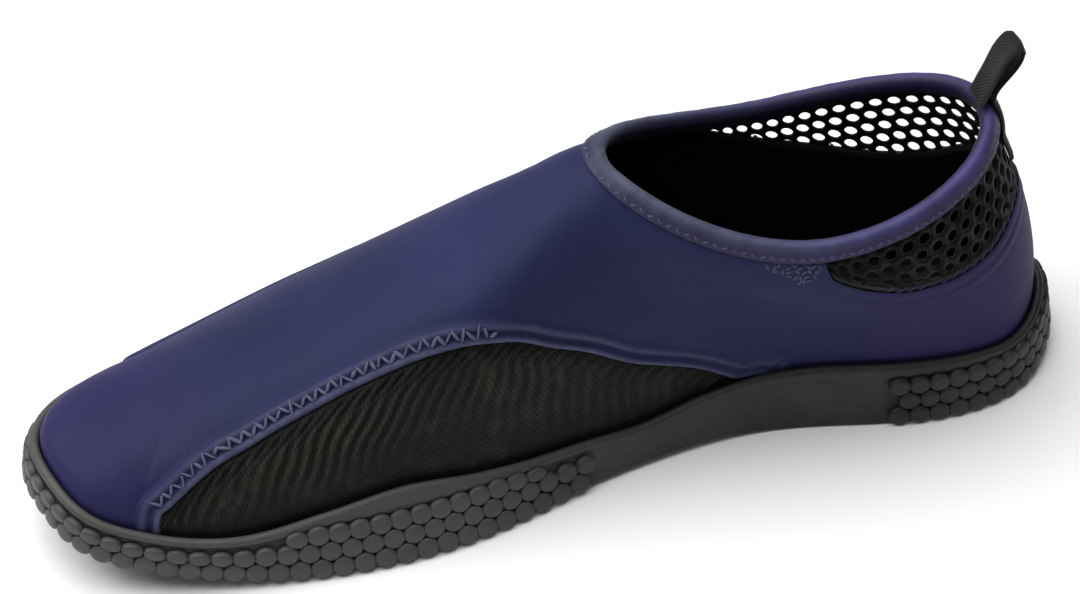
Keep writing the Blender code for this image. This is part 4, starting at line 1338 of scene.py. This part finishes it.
def build_outsole():
    """Cup sole with a soft-edged rim and a raised welt line, its side nubs and its tread studs."""
    sizes = bpy.context.scene.shoe_sizes
    ring = np.arange(SOLE_COLUMNS) * 2 / SOLE_COLUMNS
    slant, tall, rim, flat = wall_slant(ring), wall_height(ring), rim_inset(ring), np.zeros(len(ring))
    profile = [sole_point(ring, flat + NUB_HEIGHT + inset, flat + height) for inset, height in SOLE_EDGE]
    top = nub_row_edges(ring)[-1]
    profile += [wall_point(ring, top * part) for part in (0.0, 0.3, 0.6, 0.9)]
    for part, out in WELT:
        row = wall_point(ring, top + (slant - top) * part)
        row[:, :2] += around(PLAN_NORMALS, ring) * out
        profile.append(row)
    profile += [sole_point(ring, rim - inset, tall + height) for inset, height in RIM_SECTION]
    profile += [sole_point(ring, rim, flat + TREAD + 0.0005), sole_point(ring, rim + 0.0006, flat + TREAD)]
    rubber = rubber_finish()
    body = mesh_object("outsole_cup", *loft(profile), [rubber], sharp=60)
    # Painted shade on the wall between and behind the nubs
    pit = np.zeros((len(profile), len(ring)))
    station = plan_station(ring)
    studded = ease(FOREFOOT_NUBS - 0.01, FOREFOOT_NUBS + 0.005, station)
    pit[7:11] = studded + (1 - ease(HEEL_NUBS - 0.005, HEEL_NUBS + 0.01, station))
    store(body, "pit", pit.ravel())
    settle(body, "sole_rubber", "outsole")
    size = (sizes.nub_width, 0.9 * sizes.nub_width, sizes.nub_height)
    set_out("outsole_nubs", "sole_rubber", nub_points(), rubber, size, 0.62, detail=(16, 8))
    size = (0.72 * sizes.tread_pitch, 0.72 * sizes.tread_pitch, TREAD_RELIEF)
    set_out("outsole_tread", "sole_rubber", tread_points(sizes.tread_pitch), rubber, size, 0.6,
            detail=(12, 6))


def build_insole():
    """Footbed with a soft upper edge."""
    ring = closed_upper_ring(0.0025)
    ring = ring[:len(ring) // 2 * 2]
    inset = rim_inset(ring) + NEOPRENE + 2 * GAP
    top = TREAD + GAP + INSOLE
    rows = ((0.0, TREAD + GAP), (0.0, top - 0.0012), (0.0004, top - 0.0004), (0.0013, top))
    profile = [sole_point(ring, inset + more, np.full(len(ring), height)) for more, height in rows]
    insole = mesh_object("insole_footbed", *loft(profile), [foam_finish()])
    settle(insole, "insole_foam", "insole")
    return insole


def perforation_tree():
    """Geometry nodes: a flat net of round holes, laid on a curved sheet by the sheet's own map."""
    graph, given = new_tree("lay_open_mesh", Pitch="Float", Hole="Float", Columns="Int", Rows="Int")
    pitch, hole = given.output("Pitch"), given.output("Hole")
    line = pitch * (math.sqrt(3) / 2)
    circle = graph.add("GeometryNodeMeshCircle", {"Vertices": 12, "Radius": hole * 0.5}, fill_type="NONE")
    ringed = graph.add("GeometryNodeExtrudeMesh", {"Mesh": circle, "Offset Scale": 0.0}, mode="EDGES")
    parts = graph.axes(graph.add("GeometryNodeInputPosition"))
    angle = parts.output("Y").maths("ARCTAN2", parts)
    sector = (angle + 2 * math.pi + math.pi / 6).maths("MODULO", math.pi / 3) - math.pi / 6
    border = pitch * 0.5 / sector.maths("COSINE")
    hexagon = graph.add("ShaderNodeCombineXYZ",
                        [angle.maths("COSINE") * border, angle.maths("SINE") * border, 0.0])
    cell = graph.add("GeometryNodeSetPosition",
                     {"Geometry": ringed, "Selection": ringed.output("Top"), "Position": hexagon})
    cell = graph.add("GeometryNodeMergeByDistance", {"Geometry": cell, "Distance": 1e-6})
    columns, rows = given.output("Columns"), given.output("Rows")
    net = graph.add("GeometryNodeMeshGrid", {"Vertices X": columns, "Size X": pitch * (columns - 1.0),
                                             "Vertices Y": rows, "Size Y": line * (rows - 1.0)})
    spot = graph.add("GeometryNodeInputPosition")
    row = (graph.axes(spot).output("Y") / line + 200.25).maths("FLOOR")
    shift = graph.add("ShaderNodeCombineXYZ", [row.maths("MODULO", 2.0) * pitch * 0.5, 0.0, 0.0])
    net = graph.add("GeometryNodeSetPosition", {"Geometry": net, "Offset": shift})
    set_out = graph.add("GeometryNodeInstanceOnPoints", {"Points": net, "Instance": cell})
    real = graph.add("GeometryNodeRealizeInstances", [set_out])
    kept = graph.add("GeometryNodeMergeByDistance", {"Geometry": real, "Distance": 1e-5})
    laid = graph.add("GeometryNodeSampleUVSurface", {"Mesh": given, "Value": spot, "Sample UV": spot,
                                                     "UV Map": graph.stored("UVMap")},
                     data_type="FLOAT_VECTOR")
    missing = graph.add("FunctionNodeBooleanMath", [laid.output("Is Valid")], operation="NOT")
    for name, value, kind in (("laid", laid, "FLOAT_VECTOR"), ("missing", missing, "BOOLEAN")):
        kept = graph.add("GeometryNodeStoreNamedAttribute",
                         {"Geometry": kept, "Name": name, "Value": value}, data_type=kind)
    lost = graph.stored("missing", "BOOLEAN")
    kept = graph.add("GeometryNodeDeleteGeometry", {"Geometry": kept, "Selection": lost}, domain="POINT")
    kept = graph.add("GeometryNodeSetPosition", {"Geometry": kept, "Position": graph.stored("laid")})
    kept = graph.add("GeometryNodeSetShadeSmooth", {"Geometry": kept, "Shade Smooth": True})
    return end_tree(graph, given, kept)


def build_heel_mesh():
    """Open mesh round the heel with real holes, tucked under the neoprene's hem and the binding."""
    sizes = bpy.context.scene.shoe_sizes
    ends = (MEDIAL_HEEL_START - END_TUCK, 2 - LATERAL_HEEL_START + END_TUCK)
    ring = dense_ring(*ends, [1.0], 0.002)
    bottom = heel_mesh_edge(ring) - TUCK / smooth_scale(ring, heel_mesh_edge)
    levels = bottom[:, None] + (0.995 - bottom[:, None]) * np.linspace(0, 1, SHEET_ROWS)
    points = skin_grid(ring, levels, np.full(levels.shape, 0.5 * NEOPRENE))
    number = np.arange(levels.size).reshape(levels.shape)
    corners = (number[:-1, :-1], number[1:, :-1], number[1:, 1:], number[:-1, 1:])
    faces = np.stack(corners, axis=-1).reshape(-1, 4).tolist()
    along = run_along(points[:, SHEET_ROWS // 2])
    along -= along[-1] / 2
    down = sheet_places(points[:, ::-1])[:, ::-1, 1]
    chart = np.stack([along[:, None] + 0 * down, NET_TOP - down / sizes.hole_stretch], axis=-1)
    look = mesh_finish("open_mesh", colour_of("heel_mesh"))
    sheet = mesh_object("heel_mesh_net", points.reshape(-1, 3), faces, [look], sheet=chart.reshape(-1, 2))
    run_tree(sheet, perforation_tree(), Pitch=sizes.hole_pitch, Hole=sizes.hole_width,
             Columns=int(along[-1] * 2 / sizes.hole_pitch) + 6, Rows=HOLE_ROWS, Look=look)
    thick = sheet.modifiers.new("thickness", "SOLIDIFY")
    thick.thickness = NET_THICKNESS
    thick.offset = 0.0
    bake_modifiers(sheet)
    return settle(sheet, "open_mesh", "heel_mesh")


def build_binding():
    """Rolled binding round the collar, a little uneven, that laps down over the outside of the upper."""
    ring = dense_ring(THROAT_SHARE, 2 - THROAT_SHARE, [1.0], 0.0012)[:-1]
    edge, out, past = collar_frame(ring)
    half = NEOPRENE / 2 + BINDING_BULGE
    run = run_along(edge)
    swell = 1 + 0.025 * np.sin(run * 2 * math.pi / 0.011) + 0.015 * np.sin(run * 2 * math.pi / 0.0047 + 1)
    rows, places, crest_light = [], [], []
    for outward, up, pale in BINDING_SECTION:
        height = BINDING_REACH * up
        rows.append(edge + out * (half * outward * swell - NEOPRENE / 2)[:, None] + past * height)
        places.append(np.stack([run, np.full(len(run), height)], axis=1))
        crest_light.append(np.full(len(run), pale))
    binding = mesh_object("collar_binding_roll", *loft(rows, capped=False), [binding_finish()],
                          sheet=np.concatenate(places), sharp=80)
    # Painted light on the binding: highlight along its top, shade inside and where it turns down
    store(binding, "fold", np.concatenate(crest_light))
    settle(binding, "binding", "collar_binding")
    stitches = np.arange(0, run[-1], bpy.context.scene.shoe_sizes.stitch_pitch * 1.4)
    edge, out, past = collar_frame(np.interp(stitches, run, ring))
    places = edge + out * (1.07 * half - NEOPRENE / 2) - past * 0.15 * BINDING_REACH
    set_out("binding_stitches", "binding", (places, out, unit(np.cross(past, out))),
            thread_finish("binding_thread"), (0.0017, 0.0006, 0.00022), 0.2, 0.5)


def build_pull_loop():
    """Webbing loop at the back of the collar, with rounded edges and ribs of its weave."""
    path = smooth_path(loop_path(), 14)
    along = unit(np.gradient(path, axis=0))
    across = np.stack([along[:, 2], np.zeros(len(path)), -along[:, 0]], axis=1)
    run = run_along(path)
    path -= across * 0.0002 * (1 - ease(0.2 * LOOP_TAIL, 0.7 * LOOP_TAIL, run))[:, None]
    radius = HEEL_ROUND + (COLLAR_ROUND - HEEL_ROUND) * ease(0.3 * LOOP_TAIL, LOOP_TAIL, run)
    sides = {1: [], -1: []}
    for width in np.linspace(-1, 1, 15):
        y = width * LOOP_WIDTH / 2
        bend = np.stack([-y * y / 2 / radius, np.full(len(path), y), np.zeros(len(path))], axis=1)
        edge = (1 - abs(width)**8) ** 0.5
        ribs = 0.00007 * np.sin(run * 2 * math.pi / 0.0012 + width * 4)
        for side, rows in sides.items():
            rows.append(path + across * (side * WEBBING / 2 * edge + ribs * edge)[:, None] + bend)
    outer, inner = (np.array(rows) for rows in sides.values())
    return settle(wall_solid("pull_loop_webbing", outer, inner, [webbing_finish()]), "webbing", "pull_loop")


def smooth_path(points, steps):
    """Smooth open curve through points."""
    keys = run_along(points)
    where = [np.linspace(low, high, steps, endpoint=False) for low, high in zip(keys, keys[1:])]
    columns = {"key": keys, "x": points[:, 0], "y": points[:, 1], "z": points[:, 2]}
    where = np.concatenate([*where, keys[-1:]])
    return np.stack([read(columns, axis, where) for axis in "xyz"], axis=1)


def hem_points(edge, span, distance, pitch, rise, vary, slant=0.0):
    """Evenly spaced places beside the edge of a window: place, facing, direction and size of each."""
    ring = dense_ring(*span, [], 0.0005)
    run = run_along(upper_point(ring, edge(ring)))
    where = np.interp(np.arange(pitch / 2, run[-1], pitch), run, ring)
    facing = upper_normal(where, edge(where))
    ahead, behind = (upper_point(place, edge(place)) for place in (where + SMALL, where - SMALL))
    along = unit(ahead - behind)
    aside = unit(np.cross(facing, along))
    spread = np.random.default_rng(7).normal(0, 1, (len(where), 4))
    places = upper_point(where, edge(where)) + aside * (distance + 0.0003 * spread[:, :1]) + facing * rise
    size = 1 + vary * np.clip(spread[:, 1:], -1.5, 1.5)
    return places, facing, unit(along + (slant + 0.25 * spread[:, 1:2]) * aside), size


def build_stitches():
    """Zigzag rows over the hems of the side windows, and tape that is also painted shadow, pleats and bar
    tacks at the heel mesh.
    """
    sizes = bpy.context.scene.shoe_sizes
    thread = thread_finish("thread")
    medial = ("medial", (SIDE_MESH_START, STITCHES_END), 0.0032, 0.00045)
    lateral = ("lateral", (2 - STITCHES_END, 2 - SIDE_MESH_START), 0.0020, 0.00014)
    for name, span, distance, high in (medial, lateral):
        rows = hem_points(side_mesh_edge, span, distance, sizes.stitch_pitch, high - 0.0001, 0.2)
        set_out("hem_stitches_" + name, "neoprene", rows, thread, (sizes.stitch_length, 0.00085, high),
                0.2, 1.05)
    build_heel_tape_and_shadow()
    span = (MEDIAL_HEEL_START + 0.02, 2 - LATERAL_HEEL_START - 0.02)
    rows = hem_points(heel_mesh_edge, span, 0.0006, 0.0033, -0.0008, 0.15, 0.8)
    set_out("heel_mesh_pleats", "open_mesh", rows, thread_finish("pleat_thread"),
            (0.0035, 0.0010, 0.0005), 0.1, detail=(10, 6))
    thread = thread_finish("tack_thread")
    for name, side in (("medial", MEDIAL_HEEL_START), ("lateral", 2 - LATERAL_HEEL_START)):
        set_out("bar_tack_" + name, "neoprene", tack_points(side), thread, (0.0019, 0.0007, 0.00025),
                0.2, 0.9)


def build_heel_tape_and_shadow():
    """Dark tape that closes the lower edge of the heel mesh, inside the neoprene's cut edge; its near-black
    colour is also painted shadow under that edge.
    """
    ring = dense_ring(MEDIAL_HEEL_START + 0.001, 2 - LATERAL_HEEL_START - 0.001, [1.0], 0.0012)
    across = np.linspace(-0.0012, 0.0016, 8)
    levels = heel_mesh_edge(ring)[:, None] + across[None] / smooth_scale(ring, heel_mesh_edge)[:, None]
    rounding = np.zeros(levels.shape) + 0.0003 * np.abs(np.linspace(-1, 1, 8))**3
    outer = skin_grid(ring, levels, 0.0007 + rounding)
    inner = skin_grid(ring, levels, 0.0021 - rounding)
    tape = wall_solid("heel_mesh_tape", outer, inner, [thread_finish("dark_thread")])
    return settle(tape, "open_mesh")


def tack_points(ring):
    """Place, facing and direction of untidy stitches in front of the tip of the heel mesh."""
    toward = -1 if ring < 1 else 1
    rings, levels = [], []
    for row, level in enumerate((0.94, 0.91, 0.88, 0.85)):
        for place in range(9 - 2 * row):
            rings.append(ring + toward * (0.003 + 0.0040 * place + 0.003 * row))
            levels.append(level)
    spread = np.random.default_rng(5).normal(0, 1, (27, 2))[:len(rings)]
    rings = np.array(rings) + 0.0008 * spread[:, 0]
    levels = np.array(levels) + 0.006 * spread[:, 1]
    facing = upper_normal(rings, levels)
    along = unit(upper_point(rings + SMALL, levels) - upper_point(rings - SMALL, levels))
    along = unit(along + 0.35 * spread[:, :1] * np.cross(facing, along))
    return upper_point(rings, levels) + facing * 0.00005, facing, along


def build_stage():
    """Pale floor, even studio light and the camera."""
    scene = bpy.context.scene
    world = bpy.data.worlds.new("studio")
    scene.world = world
    world.use_nodes = True
    light = world.node_tree.nodes["Background"].inputs
    light["Color"].default_value = (1.0, 1.0, 1.0, 1.0)
    light["Strength"].default_value = ROUND_LIGHT
    floor = Finish("floor", (0.96, 0.96, 0.96), 0.9)
    mesh = bpy.data.meshes.new("floor")
    reach = 6.0
    mesh.from_pydata([(-reach, -reach, 0), (reach, -reach, 0), (reach, reach, 0), (-reach, reach, 0)], [],
                     [[0, 1, 2, 3]])
    mesh.materials.append(floor.material)
    ground = bpy.data.objects.new("floor", mesh)
    scene.collection.objects.link(ground)
    for name, place, size, power in LIGHTS:
        lamp = bpy.data.lights.new(name, "AREA")
        lamp.shape = "DISK"
        lamp.size = size
        lamp.energy = power
        holder = bpy.data.objects.new(name, lamp)
        holder.location = place
        aim = Vector((0, 0, 0.04)) - Vector(place)
        holder.rotation_euler = aim.to_track_quat("-Z", "Y").to_euler()
        scene.collection.objects.link(holder)
    scene.view_settings.view_transform = "Standard"
    add_camera()


def add_camera():
    turn, rise, roll = (math.radians(a) for a in (CAMERA_TURN, CAMERA_RISE, CAMERA_ROLL))
    back = Vector((math.sin(turn) * math.cos(rise), -math.cos(turn) * math.cos(rise), math.sin(rise)))
    right = Vector((math.cos(turn), math.sin(turn), 0.0))
    up = back.cross(right)
    across, above, height = CAMERA_AIM
    aim = Vector((0.0, 0.0, height)) + right * across + up * above + Vector(SHIFT)
    turned_right = right * math.cos(roll) + up * math.sin(roll)
    turned_up = -right * math.sin(roll) + up * math.cos(roll)
    camera = bpy.data.cameras.new("camera")
    camera.sensor_fit = "HORIZONTAL"
    camera.sensor_width = 36.0
    camera.lens = 36.0 * CAMERA_FOCUS
    camera.clip_start = 0.01
    holder = bpy.data.objects.new("camera", camera)
    axes = Matrix((turned_right, turned_up, back)).transposed()
    holder.matrix_world = Matrix.Translation(aim + back * CAMERA_DISTANCE) @ axes.to_4x4()
    bpy.context.scene.collection.objects.link(holder)
    bpy.context.scene.camera = holder


def length(name, description, default):
    return bpy.props.FloatProperty(name=name, description=description, default=default, min=0.0,
                                   precision=5, subtype="DISTANCE", unit="LENGTH")


def colour(name, description, *default):
    return bpy.props.FloatVectorProperty(name=name, description=description, default=default, size=3,
                                         min=0.0, max=1.0, subtype="COLOR")


class ShoeSizes(bpy.types.PropertyGroup):
    """Sizes of the fine work on the shoe."""
    grid_step: length("Grid step", "Widest step of the upper's surface", 0.0018)
    nub_width: length("Nub width", "Width of a nub on the sole's wall", 0.0061)
    nub_height: length("Nub height", "Height of a nub over the sole's wall", 0.0016)
    tread_pitch: length("Tread pitch", "Step between studs under the sole", 0.0066)
    hole_pitch: length("Hole pitch", "Step between holes of the heel mesh", 0.00485)
    hole_width: length("Hole width", "Width of a hole of the heel mesh", 0.0035)
    hole_stretch: bpy.props.FloatProperty(name="Hole stretch", description="Height of a hole over its width",
                                          default=1.13, min=0.5, max=2.0)
    stitch_pitch: length("Stitch pitch", "Step between stitches", 0.0018)
    stitch_length: length("Stitch length", "Length of a stitch", 0.0036)


class ShoeColours(bpy.types.PropertyGroup):
    """Colours of the shoe's materials."""
    neoprene: colour("Neoprene", "Outer face of the upper", 0.0175, 0.0205, 0.072)
    # Colour of the painted highlight on the ridges of the sewn hems
    fold: colour("Fold", "Worn edge of the folded hems", 0.080, 0.083, 0.150)
    binding: colour("Binding", "Rolled edge of the collar", 0.050, 0.042, 0.145)
    lining: colour("Lining", "Inside of the upper and the footbed", 0.0015, 0.0015, 0.002)
    side_mesh: colour("Side mesh", "Knitted panels", 0.0080, 0.0082, 0.0070)
    heel_mesh: colour("Heel mesh", "Open mesh round the heel", 0.0028, 0.0032, 0.0022)
    rubber: colour("Rubber", "Outsole", 0.0168, 0.0163, 0.0150)
    webbing: colour("Webbing", "Pull loop", 0.0030, 0.0030, 0.0030)
    thread: colour("Thread", "Stitches", 0.082, 0.087, 0.155)
    binding_thread: colour("Binding thread", "Stitches on the binding", 0.060, 0.060, 0.150)
    tack_thread: colour("Tack thread", "Stitches in front of the heel mesh", 0.052, 0.070, 0.120)
    pleat_thread: colour("Pleat thread", "Gathers at the edge of the heel mesh", 0.012, 0.014, 0.045)
    # Near-black tape, its colour also painted shadow under the neoprene's cut edge
    dark_thread: colour("Dark thread", "Tape at the edge of the heel mesh", 0.004, 0.004, 0.006)


class SHOE_OT_outsole(bpy.types.Operator):
    """Build the cup sole with its side nubs and tread studs"""
    bl_idname = "shoe.outsole"
    bl_label = "Outsole"

    def execute(self, context):
        build_outsole()
        return {"FINISHED"}


class SHOE_OT_insole(bpy.types.Operator):
    """Build the footbed"""
    bl_idname = "shoe.insole"
    bl_label = "Insole"

    def execute(self, context):
        build_insole()
        return {"FINISHED"}


class SHOE_OT_upper(bpy.types.Operator):
    """Build the neoprene upper with its hems"""
    bl_idname = "shoe.upper"
    bl_label = "Upper"

    def execute(self, context):
        build_upper()
        return {"FINISHED"}


class SHOE_OT_side_meshes(bpy.types.Operator):
    """Build the knitted mesh panels of both sides"""
    bl_idname = "shoe.side_meshes"
    bl_label = "Side meshes"

    def execute(self, context):
        build_side_meshes()
        return {"FINISHED"}


class SHOE_OT_heel_mesh(bpy.types.Operator):
    """Build the open mesh round the heel"""
    bl_idname = "shoe.heel_mesh"
    bl_label = "Heel mesh"

    def execute(self, context):
        build_heel_mesh()
        return {"FINISHED"}


class SHOE_OT_binding(bpy.types.Operator):
    """Build the collar's binding and its stitches"""
    bl_idname = "shoe.binding"
    bl_label = "Collar binding"

    def execute(self, context):
        build_binding()
        return {"FINISHED"}


class SHOE_OT_pull_loop(bpy.types.Operator):
    """Build the webbing pull loop"""
    bl_idname = "shoe.pull_loop"
    bl_label = "Pull loop"

    def execute(self, context):
        build_pull_loop()
        return {"FINISHED"}


class SHOE_OT_stitches(bpy.types.Operator):
    """Set out the stitches of the hems"""
    bl_idname = "shoe.stitches"
    bl_label = "Stitches"

    def execute(self, context):
        build_stitches()
        return {"FINISHED"}


class SHOE_OT_stage(bpy.types.Operator):
    """Set the floor, the lights and the camera"""
    bl_idname = "shoe.stage"
    bl_label = "Stage"

    def execute(self, context):
        build_stage()
        return {"FINISHED"}


OPERATORS = (SHOE_OT_outsole, SHOE_OT_insole, SHOE_OT_upper, SHOE_OT_side_meshes, SHOE_OT_heel_mesh,
             SHOE_OT_binding, SHOE_OT_pull_loop, SHOE_OT_stitches, SHOE_OT_stage)


class SHOE_PT_panel(bpy.types.Panel):
    """Sizes, colours and builders of the water shoe"""
    bl_idname = "SHOE_PT_panel"
    bl_label = "Water shoe"
    bl_space_type = "VIEW_3D"
    bl_region_type = "UI"
    bl_category = "Water shoe"

    def draw(self, context):
        for group in (context.scene.shoe_sizes, context.scene.shoe_colours):
            box = self.layout.box()
            for name in group.__annotations__:
                box.prop(group, name)
        for operator in OPERATORS:
            self.layout.operator(operator.bl_idname)


CLASSES = (ShoeSizes, ShoeColours, *OPERATORS, SHOE_PT_panel)


def register():
    for made in CLASSES:
        bpy.utils.register_class(made)
    bpy.types.Scene.shoe_sizes = bpy.props.PointerProperty(type=ShoeSizes)
    bpy.types.Scene.shoe_colours = bpy.props.PointerProperty(type=ShoeColours)


def unregister():
    del bpy.types.Scene.shoe_colours
    del bpy.types.Scene.shoe_sizes
    for made in reversed(CLASSES):
        bpy.utils.unregister_class(made)


def main():
    register()
    for operator in OPERATORS:
        getattr(bpy.ops.shoe, operator.bl_idname.split(".")[1])()


if __name__ == "__main__":
    main()
